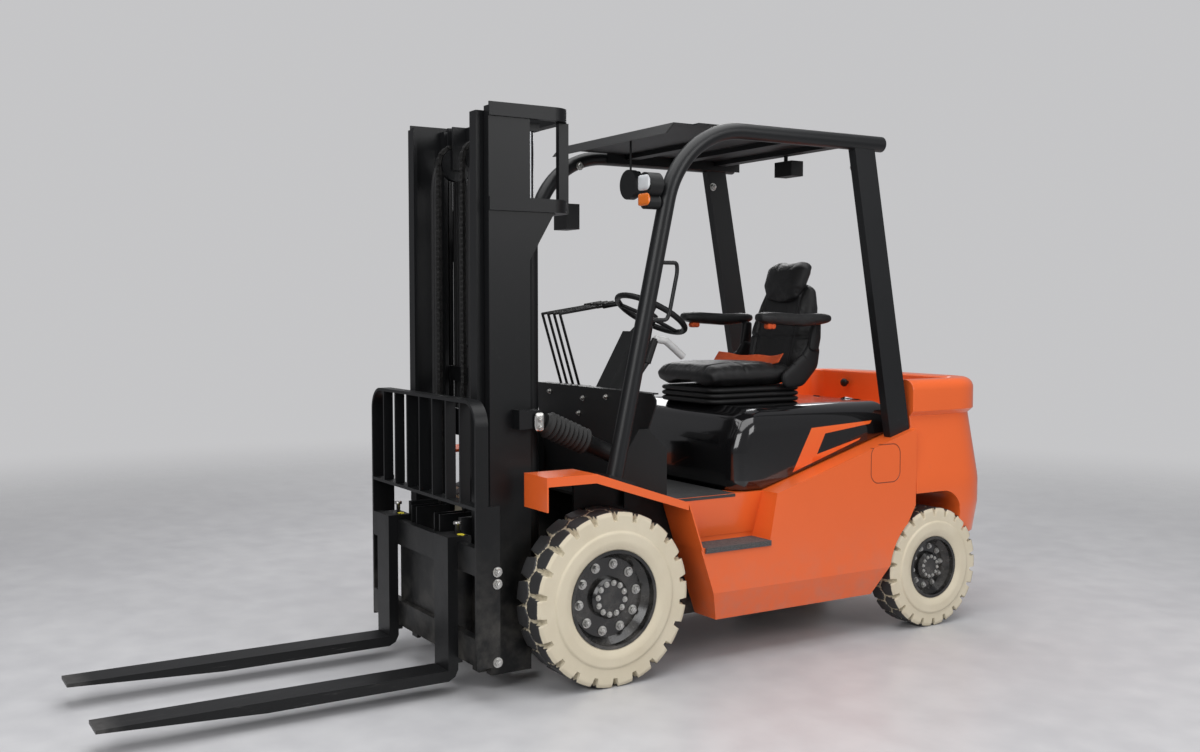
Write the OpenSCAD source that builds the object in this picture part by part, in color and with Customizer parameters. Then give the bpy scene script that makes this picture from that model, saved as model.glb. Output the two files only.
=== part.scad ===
// Electric counterbalance forklift with a two-stage mast, sit-down operator place and cushion tyres.
// Frame: +Z up, forks point to -Y, +X is the driver's left, ground at z = 0.
// Inside the modules y is measured from the front axle, rearwards positive.

/* [Overall] */
// Front axle to the fork tips
fork_reach = 1800; // [1700:10:1950]
// Front axle to the rear of the counterweight
rear_reach = 2120; // [2080:10:2250]
// Distance between the axles
wheelbase = 1705; // [1690:1:1720]
// Width over the side panels
body_w = 1146; // [1130:2:1180]
// Ground to the underside of the body
ground_clear = 182; // [150:2:210]

/* [Wheels] */
// Front tyre diameter over the lugs
front_tyre_d = 668; // [640:2:680]
// Front tyre width
front_tyre_w = 182; // [170:1:188]
// Distance between the middles of the front tyres
front_track = 988; // [980:2:1010]
// Front rim diameter
front_rim_d = 376; // [340:2:400]
// Rear tyre diameter over the lugs
rear_tyre_d = 535; // [500:1:540]
// Rear tyre width
rear_tyre_w = 155; // [140:1:160]
// Distance between the middles of the rear tyres
rear_track = 992; // [986:2:1000]
// Rear rim diameter
rear_rim_d = 276; // [260:2:300]
// Lugs round each shoulder of a tyre
lug_count = 22; // [16:1:26]

/* [Mast] */
// Ground to the top of the lowered mast
mast_h = 2185; // [2150:5:2250]
// Width over the outer rails
mast_w = 716; // [710:1:722]
// Depth of an outer rail, front to back
rail_d = 172; // [165:1:178]
// Front axle to the front of the outer rails
rail_front = 412; // [405:1:420]
// Ground to the underside of the rails
mast_foot = 55; // [45:1:80]
// Travel of the inner mast
lift_stroke = 1500; // [1200:10:1550]

/* [Forks and carriage] */
// Length of a fork blade from the front of its shank
fork_l = 1220; // [1200:1:1225]
// Width of a fork
fork_w = 122; // [100:1:140]
// Thickness of a fork at its heel
fork_t = 40; // [35:1:42]
// Free width between the two forks
fork_gap = 446; // [300:2:600]
// Ground to the underside of the lowered blades
fork_foot = 55; // [45:1:70]
// Width of the carriage over the backrest legs
carriage_w = 1000; // [940:2:1060]
// Ground to the top of the load backrest
backrest_top = 1098; // [1000:2:1200]
// Bars in the load backrest
backrest_bars = 7; // [5:1:9]

/* [Body] */
// Ground to the front part of the body's top edge
sill_z = 675; // [670:1:680]
// Ground to the rear end of the body's sloping top edge
sill_rear_z = 900; // [880:1:910]
// Ground to the highest part of the hood
hood_z = 1012; // [1005:1:1020]
// Ground to the rim of the counterweight
weight_z = 1112; // [1100:1:1160]
// Thickness of the folded sheets
sheet_t = 6; // [4:0.5:8]

/* [Overhead guard] */
// Ground to the middle of the roof tubes
guard_z = 2133; // [2110:1:2180]
// Diameter of the guard tubes
guard_tube_d = 66; // [56:1:70]
// Distance between the middles of the guard tubes
guard_w = 1040; // [1030:1:1050]
// Radius of the bend between pillar and roof tube
guard_bend_r = 370; // [340:5:390]

/* [Operator place] */
// Diameter of the steering wheel to the middle of its rim
steer_wheel_d = 320; // [280:2:340]
// Width of the seat cushion
seat_w = 480; // [420:2:500]

/* [Hidden] */
$fn = 64;

orange = [0.93, 0.36, 0.13];
black = [0.09, 0.09, 0.1];
satin = [0.14, 0.14, 0.15];
grey = [0.36, 0.37, 0.38];
steel = [0.7, 0.7, 0.72];
cream = [0.88, 0.84, 0.72];

// Fits and shared small sizes
overrun = 20;
seat_gap = 0.3;
run_fit = 0.06;
move_gap = 5;
plate_t = 12;

// Places that follow from the driving sizes
front_axle_y = (fork_reach - rear_reach) / 2;
front_axle_z = front_tyre_d / 2;
rear_axle_z = rear_tyre_d / 2;
body_x = body_w / 2;
outer_x = mast_w / 2;

module placed() translate([0, front_axle_y, 0]) children();

module both_sides() {
  children();
  mirror([1, 0, 0]) children();
}

// Draws a (y, z) outline and gives it a width from x0 to x1
module along_x(x0, x1) translate([x0, 0, 0]) rotate([90, 0, 90]) linear_extrude(x1 - x0) children();

// Draws an (x, z) outline and gives it a depth from y0 to y1
module along_y(y0, y1) translate([0, y1, 0]) rotate([90, 0, 0]) linear_extrude(y1 - y0) children();

module block(x0, x1, y0, y1, z0, z1) translate([x0, y0, z0]) cube([x1 - x0, y1 - y0, z1 - z0]);

module bar_x(x0, x1, y, z, r) translate([x0, y, z]) rotate([0, 90, 0]) cylinder(h = x1 - x0, r = r);

// Round bar between two points
module rod(p, q, r) {
  v = q - p;
  l = norm(v);
  translate(p) rotate([0, acos(v.z / l), atan2(v.y, v.x)]) cylinder(h = l, r = r);
}

// Wheels
tyre_side_share = 0.72;
shoulder = 14;
bead_inset = 12;
lug_depth = 26;
lug_slot_share = 0.24;
lug_reach_share = 0.34;
rim_wall = 12;
rim_inset = 9;

// Tyre with cut shoulders round the +X axis, middle plane at x = 0
module tyre(d, w, rim_d) {
  r_in = rim_d / 2 + seat_gap;
  r_out = d / 2;
  r_side = r_in + (r_out - r_in) * tyre_side_share;
  half = w / 2;
  pitch = 360 / lug_count;
  slot_w = PI * d / lug_count * lug_slot_share;
  difference() {
    rotate([0, 90, 0]) rotate_extrude() polygon([
      [r_in, -half + bead_inset], [r_in, half - bead_inset], [r_in + bead_inset, half - bead_inset / 2],
      [r_side, half], [r_out - shoulder, half], [r_out, half - shoulder],
      [r_out, -half + shoulder], [r_out - shoulder, -half], [r_side, -half],
      [r_in + bead_inset, -half + bead_inset / 2]
    ]);
    for (side = [0, 1], i = [0:lug_count - 1])
      rotate([(i + side / 2) * pitch, 0, 0])
        mirror([side, 0, 0])
          translate([half - w * lug_reach_share, -slot_w / 2, r_out - lug_depth])
            cube([w * lug_reach_share + overrun, slot_w, lug_depth + overrun]);
  }
}

// Dished rim round the +X axis: band, cone, disc, hub and cap
disc_t = 14;
hub_wall = 34;
hub_cap_t = 10;
dish_share = 0.3;
hub_rise_share = 0.16;
module rim(d, w, spindle_r, spindle_end) {
  r_out = d / 2;
  r_band = r_out - rim_wall;
  half = w / 2 - rim_inset;
  disc_out = half - w * dish_share;
  hub_r = spindle_r + hub_wall;
  hub_out = disc_out + w * hub_rise_share;
  cone_r = r_band - rim_wall * 2;
  rotate([0, 90, 0]) difference() {
    rotate_extrude() polygon([
      [0, hub_out], [hub_r - hub_cap_t, hub_out], [hub_r, hub_out - hub_cap_t], [hub_r, disc_out],
      [cone_r, disc_out], [r_band, disc_out + rim_wall * 2], [r_band, half], [r_out, half],
      [r_out, -half], [r_band, -half], [r_band, disc_out - disc_t],
      [hub_r, disc_out - disc_t], [hub_r, disc_out - disc_t * 2], [0, disc_out - disc_t * 2]
    ]);
    translate([0, 0, -half]) cylinder(h = half + spindle_end + run_fit, r = spindle_r + run_fit);
  }
}

front_x = front_track / 2;
front_spindle_r = 45;
front_spindle_end = 25;
rear_x = rear_track / 2;
rear_spindle_r = 30;
rear_spindle_end = 20;

module front_wheel_place() placed() translate([front_x, 0, front_axle_z]) children();
module rear_wheel_place() placed() translate([rear_x, wheelbase, rear_axle_z]) children();

module front_tyre_left() color(cream) front_wheel_place() tyre(front_tyre_d, front_tyre_w, front_rim_d);
module front_tyre_right() color(cream) mirror([1, 0, 0])
  front_wheel_place() tyre(front_tyre_d, front_tyre_w, front_rim_d);
module rear_tyre_left() color(cream) rear_wheel_place() tyre(rear_tyre_d, rear_tyre_w, rear_rim_d);
module rear_tyre_right() color(cream) mirror([1, 0, 0])
  rear_wheel_place() tyre(rear_tyre_d, rear_tyre_w, rear_rim_d);
module front_rim_left() color(black)
  front_wheel_place() rim(front_rim_d, front_tyre_w, front_spindle_r, front_spindle_end);
module front_rim_right() color(black) mirror([1, 0, 0])
  front_wheel_place() rim(front_rim_d, front_tyre_w, front_spindle_r, front_spindle_end);
module rear_rim_left() color(black)
  rear_wheel_place() rim(rear_rim_d, rear_tyre_w, rear_spindle_r, rear_spindle_end);
module rear_rim_right() color(black) mirror([1, 0, 0])
  rear_wheel_place() rim(rear_rim_d, rear_tyre_w, rear_spindle_r, rear_spindle_end);

// Drive axle: gear housing, tubes that carry the mast pivots, hub flanges and spindles
axle_tube_r = 65;
axle_housing_r = 120;
axle_housing_x = 150;
axle_step_x = 190;
axle_tube_end = 372;
axle_flange_r = 100;
axle_flange_t = 26;
module drive_axle() color(black) placed() translate([0, 0, front_axle_z]) {
  rotate([0, 90, 0]) rotate_extrude() polygon([
    [0, -axle_tube_end], [axle_tube_r, -axle_tube_end], [axle_tube_r, -axle_step_x],
    [axle_housing_r, -axle_housing_x], [axle_housing_r, axle_housing_x], [axle_tube_r, axle_step_x],
    [axle_tube_r, axle_tube_end], [0, axle_tube_end]
  ]);
  both_sides() {
    bar_x(axle_tube_end - overrun, axle_tube_end + axle_flange_t, 0, 0, axle_flange_r);
    bar_x(axle_tube_end, front_x + front_spindle_end, 0, 0, front_spindle_r);
  }
}

// Steer axle beam with a forked end round each knuckle
kingpin_x = 400;
kingpin_r = 18;
beam_half_y = 42;
beam_half_z = 46;
beam_end_x = 345;
ear_half_z = 74;
ear_t = 22;
ear_r = 40;
axle_boss_r = 60;
axle_boss_top = 345;
knuckle_r = 36;
module steer_axle() color(black) placed() translate([0, wheelbase, 0]) difference() {
  union() {
    block(-beam_end_x, beam_end_x, -beam_half_y, beam_half_y,
      rear_axle_z - beam_half_z, rear_axle_z + beam_half_z);
    translate([0, 0, rear_axle_z]) cylinder(h = axle_boss_top - rear_axle_z, r = axle_boss_r);
    both_sides() for (s = [-1, 1]) {
      z0 = rear_axle_z + s * (ear_half_z - ear_t / 2) - ear_t / 2;
      translate([kingpin_x, 0, z0]) cylinder(h = ear_t, r = ear_r);
      block(beam_end_x - plate_t, kingpin_x, -ear_r, ear_r, z0, z0 + ear_t);
    }
    both_sides() block(beam_end_x - plate_t * 2, beam_end_x, -beam_half_y, beam_half_y,
      rear_axle_z - ear_half_z, rear_axle_z + ear_half_z);
  }
  both_sides() translate([kingpin_x, 0, rear_axle_z - ear_half_z - overrun])
    cylinder(h = 2 * (ear_half_z + overrun), r = kingpin_r + run_fit);
}

module knuckle() placed() translate([kingpin_x, wheelbase, rear_axle_z]) {
  translate([0, 0, -ear_half_z]) cylinder(h = 2 * ear_half_z, r = kingpin_r);
  translate([0, 0, -ear_half_z + ear_t + seat_gap])
    cylinder(h = 2 * (ear_half_z - ear_t - seat_gap), r = knuckle_r);
  bar_x(0, rear_x - kingpin_x + rear_spindle_end, 0, 0, rear_spindle_r);
}
module knuckle_left() color(black) knuckle();
module knuckle_right() color(black) mirror([1, 0, 0]) knuckle();

// Space that a steered rear wheel sweeps round its kingpin, with room to spare
well_gap = 9;
well_roof = 590;
well_steps = 12;
well_dx = rear_x + rear_tyre_w / 2 - kingpin_x;
function well_r(z) =
  sqrt(pow(well_dx, 2) + max(0, pow(rear_tyre_d / 2, 2) - pow(z - rear_axle_z, 2))) + well_gap;
module steer_well() placed() both_sides() translate([kingpin_x, wheelbase, 0])
  rotate_extrude() polygon(concat(
  [[0, -overrun], [well_r(rear_axle_z), -overrun]],
  [for (i = [0:well_steps])
    let (z = rear_axle_z + (rear_tyre_d / 2 + well_gap) * sin(90 * i / well_steps)) [well_r(z), z]],
  [[well_dx + well_gap, well_roof], [0, well_roof]]
));

// Frame weldment
wall_gap = 13;
wall_out = front_x - front_tyre_w / 2 - wall_gap;
wall_in = wall_out - plate_t;
wing_front_y = -70;
wing_foot_z = 560;
wing_step = 80;
wall_drop = 20;
fender_peak_y = -90;
fender_peak_z = 812;
panel_front_y = 335;
bulkhead_y = 405;
panel_foot_front_y = 505;
panel_foot_rear_y = 1352;
sill_bend_y = 790;
seam_y = 1578;
deck_y = 140;
deck_t = 12;
floor_t = 14;
deck_z = sill_z - floor_t - deck_t;
hinge_y = 1558;
hinge_z = 905;
hinge_r = 15;
hinge_pin_r = 8;
hinge_x = 230;
hinge_l = 60;
spine_x = 130;
spine_end_y = 1790;
spine_top = 560;
mount_x = 205;
mount_t = 30;
mount_r = 92;

// Sloping lines of the fender's underside and of the side panel's top edge
fender_slope = atan2(fender_peak_z - sill_z + sheet_t, panel_front_y - fender_peak_y);
fender_rise = sheet_t / cos(fender_slope);
function fender_z(y) = fender_peak_z - (y - fender_peak_y) * tan(fender_slope);
function fender_top(y) = fender_z(y) + fender_rise + seat_gap;
sill_slope = (sill_rear_z - sill_z) / (seam_y - sill_bend_y);
function sill(y) = sill_z + max(0, y - sill_bend_y) * sill_slope;

// Tilt cylinder geometry, shared by frame, barrels, rods and mast
tilt_rear_y = 180;
tilt_rear_z = 825;
tilt_front_y = -240;
tilt_front_z = 1015;
tilt_eye_t = 28;
tilt_eye_r = 36;
tilt_pin_r = 16;
tilt_len = norm([tilt_front_y - tilt_rear_y, tilt_front_z - tilt_rear_z]);
tilt_rise = atan2(tilt_front_z - tilt_rear_z, tilt_rear_y - tilt_front_y);
clevis_gap = 3;
pin_out = 10;
clevis_t = 12;
tilt_x = outer_x + clevis_t + clevis_gap + tilt_eye_t / 2;
clevis_in = outer_x;
clevis_out = tilt_x + tilt_eye_t / 2 + clevis_gap + clevis_t;
fender_in = clevis_out + seat_gap;
// Draws a (y, z) outline for both ears of a clevis round a tilt cylinder's eye
module clevis_pair() {
  along_x(clevis_in, clevis_in + clevis_t) children();
  along_x(clevis_out - clevis_t, clevis_out) children();
}
module tilt_place() placed() both_sides() translate([tilt_x, tilt_rear_y, tilt_rear_z])
  rotate([90 - tilt_rise, 0, 0]) children();

module frame() color(black) difference() {
  placed() {
    both_sides() along_x(wall_in, wall_out) polygon([
      [wing_front_y, wing_foot_z], [bulkhead_y - wing_step, wing_foot_z], [bulkhead_y, ground_clear],
      [panel_foot_rear_y, ground_clear], [panel_foot_rear_y, spine_top - plate_t],
      [seam_y - seat_gap, spine_top - plate_t],
      [seam_y - seat_gap, sill(seam_y) - wall_drop], [sill_bend_y, sill_z - wall_drop],
      [panel_front_y, sill_z - wall_drop], [panel_front_y - sheet_t, fender_z(panel_front_y)],
      [panel_front_y - sheet_t, fender_z(panel_front_y - sheet_t) + fender_rise],
      [wing_front_y, fender_z(wing_front_y) + fender_rise]
    ]);
    block(-wall_in, wall_in, bulkhead_y, panel_foot_rear_y, ground_clear, ground_clear + plate_t);
    block(-wall_in, wall_in, bulkhead_y, bulkhead_y + plate_t, ground_clear, deck_z);
    block(-wall_in, wall_in, deck_y, hood_front_y - lid_gap, deck_z, deck_z + deck_t);
    block(-wall_in, wall_in, panel_foot_rear_y - plate_t, panel_foot_rear_y, ground_clear, spine_top);
    block(-wall_in, wall_in, seam_y - plate_t * 2, seam_y - seat_gap,
      spine_top - plate_t, hinge_z - hinge_r * 2);
    block(-wall_in, wall_in, panel_foot_rear_y - plate_t, seam_y - seat_gap, spine_top - plate_t, spine_top);
    block(-spine_x, spine_x, panel_foot_rear_y - plate_t, spine_end_y, axle_boss_top, spine_top);
    both_sides() {
      along_x(mount_x, mount_x + mount_t) {
        translate([0, front_axle_z]) circle(mount_r);
        polygon([
          [-mount_r, front_axle_z], [0, front_axle_z - mount_r],
          [bulkhead_y + plate_t, ground_clear + mount_r],
          [bulkhead_y + plate_t, deck_z + deck_t], [deck_y, deck_z + deck_t]
        ]);
      }
      clevis_pair() {
        translate([tilt_rear_y, tilt_rear_z]) circle(tilt_eye_r);
        polygon([
          [tilt_rear_y - tilt_eye_r, tilt_rear_z], [tilt_rear_y + tilt_eye_r, tilt_rear_z],
          [tilt_rear_y + tilt_eye_r, deck_z], [tilt_rear_y - tilt_eye_r, deck_z]
        ]);
      }
      along_x(wall_in, clevis_out) polygon([
        [wing_front_y, fender_z(wing_front_y)], [wing_front_y, fender_z(wing_front_y) + fender_rise],
        [panel_front_y - sheet_t, fender_z(panel_front_y - sheet_t) + fender_rise],
        [panel_front_y - sheet_t, fender_z(panel_front_y - sheet_t)]
      ]);
      bar_x(clevis_in, clevis_out, tilt_rear_y, tilt_rear_z, tilt_pin_r);
      difference() {
        union() {
          bar_x(hinge_x, hinge_x + hinge_l, hinge_y, hinge_z, hinge_r);
          block(hinge_x, hinge_x + hinge_l, hinge_y - hinge_r / 2, hinge_y + hinge_r / 2,
            hinge_z - hinge_r * 2 - overrun, hinge_z);
        }
        bar_x(hinge_x - overrun, hinge_x + hinge_l + overrun, hinge_y, hinge_z, hinge_pin_r + run_fit);
      }
    }
  }
  placed() bar_x(-wall_out, wall_out, 0, front_axle_z, axle_tube_r + seat_gap);
  placed() bar_x(-axle_step_x, axle_step_x, 0, front_axle_z, axle_housing_r + move_gap);
  steer_well();
}

// Side panels: closed side boxes with a bevelled foot and a foot recess
bevel_in = 40;
bevel_h = 118;
step_y0 = 422;
step_y1 = 751;
step_z = 486;
step_t = 21;
recess_depth = 118;
recess_top_depth = 92;
recess_slant = 40;
module panel() difference() {
  placed() difference() {
    intersection() {
      along_x(wall_out, body_x) polygon([
        [panel_foot_front_y, ground_clear], [panel_foot_rear_y, ground_clear],
        [seam_y, spine_top], [seam_y, sill(seam_y)], [sill_bend_y, sill_z], [panel_front_y, sill_z]
      ]);
      along_y(0, rear_reach) polygon([
        [wall_out, ground_clear], [body_x - bevel_in, ground_clear], [body_x, ground_clear + bevel_h],
        [body_x, sill_rear_z + overrun], [wall_out, sill_rear_z + overrun]
      ]);
    }
    intersection() {
      along_x(wall_out, body_x + overrun) polygon([
        [step_y0 - recess_slant, step_z], [step_y1, step_z], [step_y1 + recess_slant, sill_z + overrun],
        [panel_front_y - overrun, sill_z + overrun], [panel_front_y - overrun, step_z]
      ]);
      along_y(0, rear_reach) polygon([
        [body_x - recess_depth, step_z], [body_x + overrun, step_z], [body_x + overrun, sill_z + overrun],
        [body_x - recess_top_depth, sill_z + overrun]
      ]);
    }
    block(body_x - recess_depth, body_x + overrun, step_y0, step_y1, step_z - step_t, step_z + overrun);
    block(0, floor_x + seat_gap, 0, hood_front_y - lid_gap + seat_gap, sill_z - floor_t, sill_z + overrun);
  }
  steer_well();
}
module side_panel_left() color(orange) panel();
module side_panel_right() color(orange) mirror([1, 0, 0]) panel();

step_out = 8;
module step_plates() color(grey) placed() both_sides()
  block(body_x - recess_depth, body_x + step_out, step_y0, step_y1, step_z - step_t, step_z);

// Front fenders: folded sheets over the front tyres
fender_front_y = -300;
fender_drop = 120;
fender_lip = 28;
fender_out = 6;
fender_low_z = 480;
module fenders() color(orange) placed() both_sides() {
  x_end = front_x + front_tyre_w / 2 + fender_out;
  slant = (panel_foot_front_y - panel_front_y) / (sill_z - ground_clear);
  tail_y = panel_front_y + (sill_z - fender_low_z) * slant;
  edge_y = panel_front_y - seat_gap;
  along_x(fender_in, x_end) polygon([
    [fender_front_y, fender_peak_z - fender_drop], [fender_front_y, fender_peak_z + fender_rise],
    [fender_peak_y, fender_peak_z + fender_rise], [edge_y, fender_z(edge_y) + fender_rise],
    [tail_y - seat_gap, fender_low_z], [tail_y - sheet_t, fender_low_z],
    [panel_front_y - sheet_t, fender_z(panel_front_y - sheet_t)], [fender_peak_y, fender_peak_z],
    [fender_front_y + sheet_t, fender_peak_z], [fender_front_y + sheet_t, fender_peak_z - fender_drop]
  ]);
  along_x(x_end - sheet_t, x_end) polygon([
    [fender_front_y, fender_peak_z + fender_rise], [fender_peak_y, fender_peak_z + fender_rise],
    [panel_front_y - sheet_t, fender_z(panel_front_y - sheet_t) + fender_rise],
    [panel_front_y - sheet_t, sill_z - fender_lip],
    [fender_peak_y, fender_peak_z - fender_lip], [fender_front_y, fender_peak_z - fender_lip]
  ]);
}

// Floor plate with its mat
floor_x = 478;
floor_y0 = 345;
hood_front_y = 650;
lid_gap = 6;
module floor_plate() color(grey) placed()
  block(-floor_x, floor_x, floor_y0, hood_front_y - lid_gap, sill_z - floor_t, sill_z);

// Cowl: upright front sheet, wide at its top, with a folded edge and slanted cheeks
cowl_y = 240;
cowl_top = 1096;
cowl_x = 490;
cowl_fold = 45;
cowl_corner = 24;
cowl_neck_z = 956;
cowl_flare_z = 1050;
cheek_x = 438;
cheek_front_y = 70;
cheek_peak_y = 200;
cheek_rear_y = 331;
cheek_rear_z = 868;
module cowl() color(satin) placed() {
  low_x = wall_in - seat_gap;
  along_y(cowl_y, cowl_y + sheet_t) polygon([
    [-low_x, deck_z + deck_t], [low_x, deck_z + deck_t], [low_x, fender_top(cowl_y)],
    [cheek_x, fender_top(cowl_y)], [cheek_x, cowl_neck_z], [cowl_x, cowl_flare_z],
    [cowl_x, cowl_top - cowl_corner], [cowl_x - cowl_corner, cowl_top],
    [-cowl_x + cowl_corner, cowl_top], [-cowl_x, cowl_top - cowl_corner], [-cowl_x, cowl_flare_z],
    [-cheek_x, cowl_neck_z], [-cheek_x, fender_top(cowl_y)], [-low_x, fender_top(cowl_y)]
  ]);
  block(-cowl_x + cowl_fold, cowl_x - cowl_fold, cowl_y, cowl_y + cowl_fold, cowl_top - sheet_t, cowl_top);
  both_sides() along_x(cheek_x - sheet_t, cheek_x) polygon([
    [cheek_front_y, fender_top(cheek_front_y)], [cheek_peak_y, cowl_neck_z], [cowl_y, cowl_neck_z],
    [cheek_rear_y, cheek_rear_z], [cheek_rear_y, fender_top(cheek_rear_y)]
  ]);
}

// Battery block under the hood
battery_x = 360;
battery_y0 = 690;
battery_y1 = 1325;
battery_top = 800;
module battery() color(grey) placed()
  block(-battery_x, battery_x, battery_y0, battery_y1, ground_clear + plate_t, battery_top);

// Counterweight casting
weight_x = 566;
weight_r = 235;
weight_foot = 412;
groove_z = 968;
groove_h = 16;
groove_in = 14;
weight_lean = 26;
weight_round = 46;
weight_recess_x = 455;
weight_recess_z = 955;
weight_recess_y = 1930;
tow_slot_h = 80;
tow_slot_x = 60;
tow_slot_depth = 120;
tow_slot_z = 520;
tow_bore_r = 16;
tow_bore_y = 62;
tow_lip = 40;
tow_pocket_h = 130;
module weight_plan(inset) {
  x = weight_x - inset;
  y = rear_reach - inset;
  r = weight_r - inset;
  y0 = seam_y + seat_gap;
  translate([-x, y0]) square([2 * x, y - r - y0]);
  translate([-x + r, y0]) square([2 * (x - r), y - y0]);
  for (s = [-1, 1]) translate([s * (x - r), y - r]) circle(r);
}
module counterweight() color(orange) difference() {
  placed() difference() {
    intersection() {
      union() {
        translate([0, 0, weight_foot]) linear_extrude(groove_z - weight_foot) weight_plan(0);
        translate([0, 0, groove_z]) linear_extrude(groove_h) weight_plan(groove_in);
        translate([0, 0, groove_z + groove_h])
          linear_extrude(weight_z - groove_z - groove_h) weight_plan(0);
      }
      along_x(-body_x, body_x) polygon([
        [seam_y, weight_foot], [rear_reach - weight_lean, weight_foot], [rear_reach, groove_z - weight_r],
        [rear_reach, groove_z + groove_h], [rear_reach - weight_lean, weight_z - weight_round / 2],
        [rear_reach - weight_lean - weight_round, weight_z], [seam_y, weight_z]
      ]);
    }
    block(-weight_recess_x, weight_recess_x, 0, weight_recess_y, weight_recess_z, weight_z + overrun);
    block(-body_x, body_x, 0, spine_end_y + move_gap, 0, well_roof);
    block(-tow_slot_x, tow_slot_x, rear_reach - tow_slot_depth, rear_reach + overrun,
      tow_slot_z - tow_slot_h / 2, tow_slot_z + tow_slot_h / 2);
    block(-tow_slot_x, tow_slot_x, rear_reach - tow_slot_depth, rear_reach + overrun,
      tow_slot_z + tow_slot_h / 2 + tow_lip, tow_slot_z + tow_slot_h / 2 + tow_lip + tow_pocket_h);
    translate([0, rear_reach - tow_bore_y, weight_foot - overrun])
      cylinder(h = tow_slot_z + tow_slot_h / 2 + tow_lip - weight_foot + overrun * 2, r = tow_bore_r);
  }
  steer_well();
}

// Overhead guard: bent tubes on foot plates, leaning rear posts, roof sheet
pillar_foot_y = 67;
pillar_foot_z = 930;
pillar_lean = 77.5;
tube_rear_y = 1392;
foot_t = 12;
foot_half = 62;
foot_w_share = 0.9;
tube_r = guard_tube_d / 2;
tube_x = guard_w / 2;
corner_y = pillar_foot_y + (guard_z - pillar_foot_z) / tan(pillar_lean);
bend_t = guard_bend_r * tan(pillar_lean / 2);
bend_y = corner_y + bend_t;
foot_y = pillar_foot_y - (pillar_foot_z - fender_z(pillar_foot_y)) / tan(pillar_lean);
foot_z = fender_top(foot_y);
module guard_tube(r) {
  rod([tube_x, foot_y, foot_z],
    [tube_x, corner_y - bend_t * cos(pillar_lean), guard_z - bend_t * sin(pillar_lean)], r);
  translate([tube_x, bend_y, guard_z - guard_bend_r]) rotate([90, 0, 90]) rotate([0, 0, 90])
    rotate_extrude(angle = pillar_lean) translate([guard_bend_r, 0]) circle(r);
  rod([tube_x, bend_y, guard_z], [tube_x, tube_rear_y, guard_z], r);
}
module guard_tubes() color(black) placed() both_sides() difference() {
  union() {
    guard_tube(tube_r);
    translate([tube_x, foot_y, foot_z]) rotate([-fender_slope, 0, 0])
      block(-foot_half * foot_w_share, foot_half * foot_w_share, -foot_half, foot_half, 0, foot_t);
  }
  translate([tube_x, foot_y, foot_z]) rotate([-fender_slope, 0, 0])
    block(-foot_half, foot_half, -foot_half * 2, foot_half * 2, -foot_half, 0);
}

post_foot_y = 1507;
post_foot_z = 910;
post_top_y = 1292;
post_top_z = 2040;
post_d = 114;
post_in = 500;
post_out = 540;
post_tilt = (post_top_y - post_foot_y) / (post_top_z - post_foot_z);
function post_y(z) = post_foot_y + (z - post_foot_z) * post_tilt;
module guard_posts() color(black) placed() both_sides() difference() {
  front_y = post_y(sill_rear_z) - post_d / 2;
  rear_y = post_y(sill_rear_z) + post_d / 2;
  along_x(post_in, post_out) polygon([
    [front_y, sill(front_y) + seat_gap], [rear_y, sill(rear_y) + seat_gap],
    [post_y(guard_z) + post_d / 2, guard_z], [post_y(guard_z) - post_d / 2, guard_z]
  ]);
  guard_tube(tube_r + seat_gap);
}

roof_x = tube_x - tube_r - seat_gap;
roof_rise = 24;
roof_top = guard_z + roof_rise;
roof_t = 5;
roof_side = 50;
visor_y = 312;
visor_z = 2112;
visor_top_y = 352;
visor_in = 40;
roof_rear_y = 1410;
roof_ribs = 3;
rib_w = 60;
rib_h = 22;
module roof_panel() color(satin) placed() {
  along_x(-roof_x + visor_in, roof_x - visor_in) polygon([
    [visor_y, visor_z], [visor_top_y, roof_top], [bend_y, roof_top], [bend_y, roof_top - roof_t],
    [visor_top_y + roof_t, roof_top - roof_t], [visor_y + roof_t * 2, visor_z]
  ]);
  block(-roof_x, roof_x, bend_y - guard_bend_r / 2, roof_rear_y, roof_top - roof_t, roof_top);
  both_sides() block(roof_x - roof_t, roof_x, bend_y, roof_rear_y, guard_z - roof_side / 2, roof_top);
  for (i = [0:roof_ribs - 1]) {
    y = bend_y + (roof_rear_y - bend_y) * (i + 0.5) / roof_ribs;
    block(-roof_x, roof_x, y - rib_w / 2, y + rib_w / 2, roof_top - roof_t - rib_h, roof_top);
  }
}

// Steering column and wheel
wheel_y = 550;
wheel_z = 1405;
column_lean = 30;
column_w = 104;
column_d = 120;
column_l = 620;
column_top = 60;
column_shaft_r = 16;
shaft_in = 90;
module column_place() placed() translate([0, wheel_y, wheel_z]) rotate([-column_lean, 0, 0]) children();
module steering_column() color(satin) difference() {
  column_place() {
    block(-column_w / 2, column_w / 2, -column_d / 2, column_d / 2, -column_l, -column_top * 2);
    translate([0, 0, -column_top * 2]) cylinder(h = column_top, r1 = column_w / 2, r2 = column_w / 3);
  }
  column_place() translate([0, 0, -column_top - shaft_in])
    cylinder(h = shaft_in + overrun, r = column_shaft_r + run_fit);
  placed() block(-column_l, column_l, -column_l, cowl_y + sheet_t + seat_gap, 0, cowl_top + column_top);
}

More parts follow.
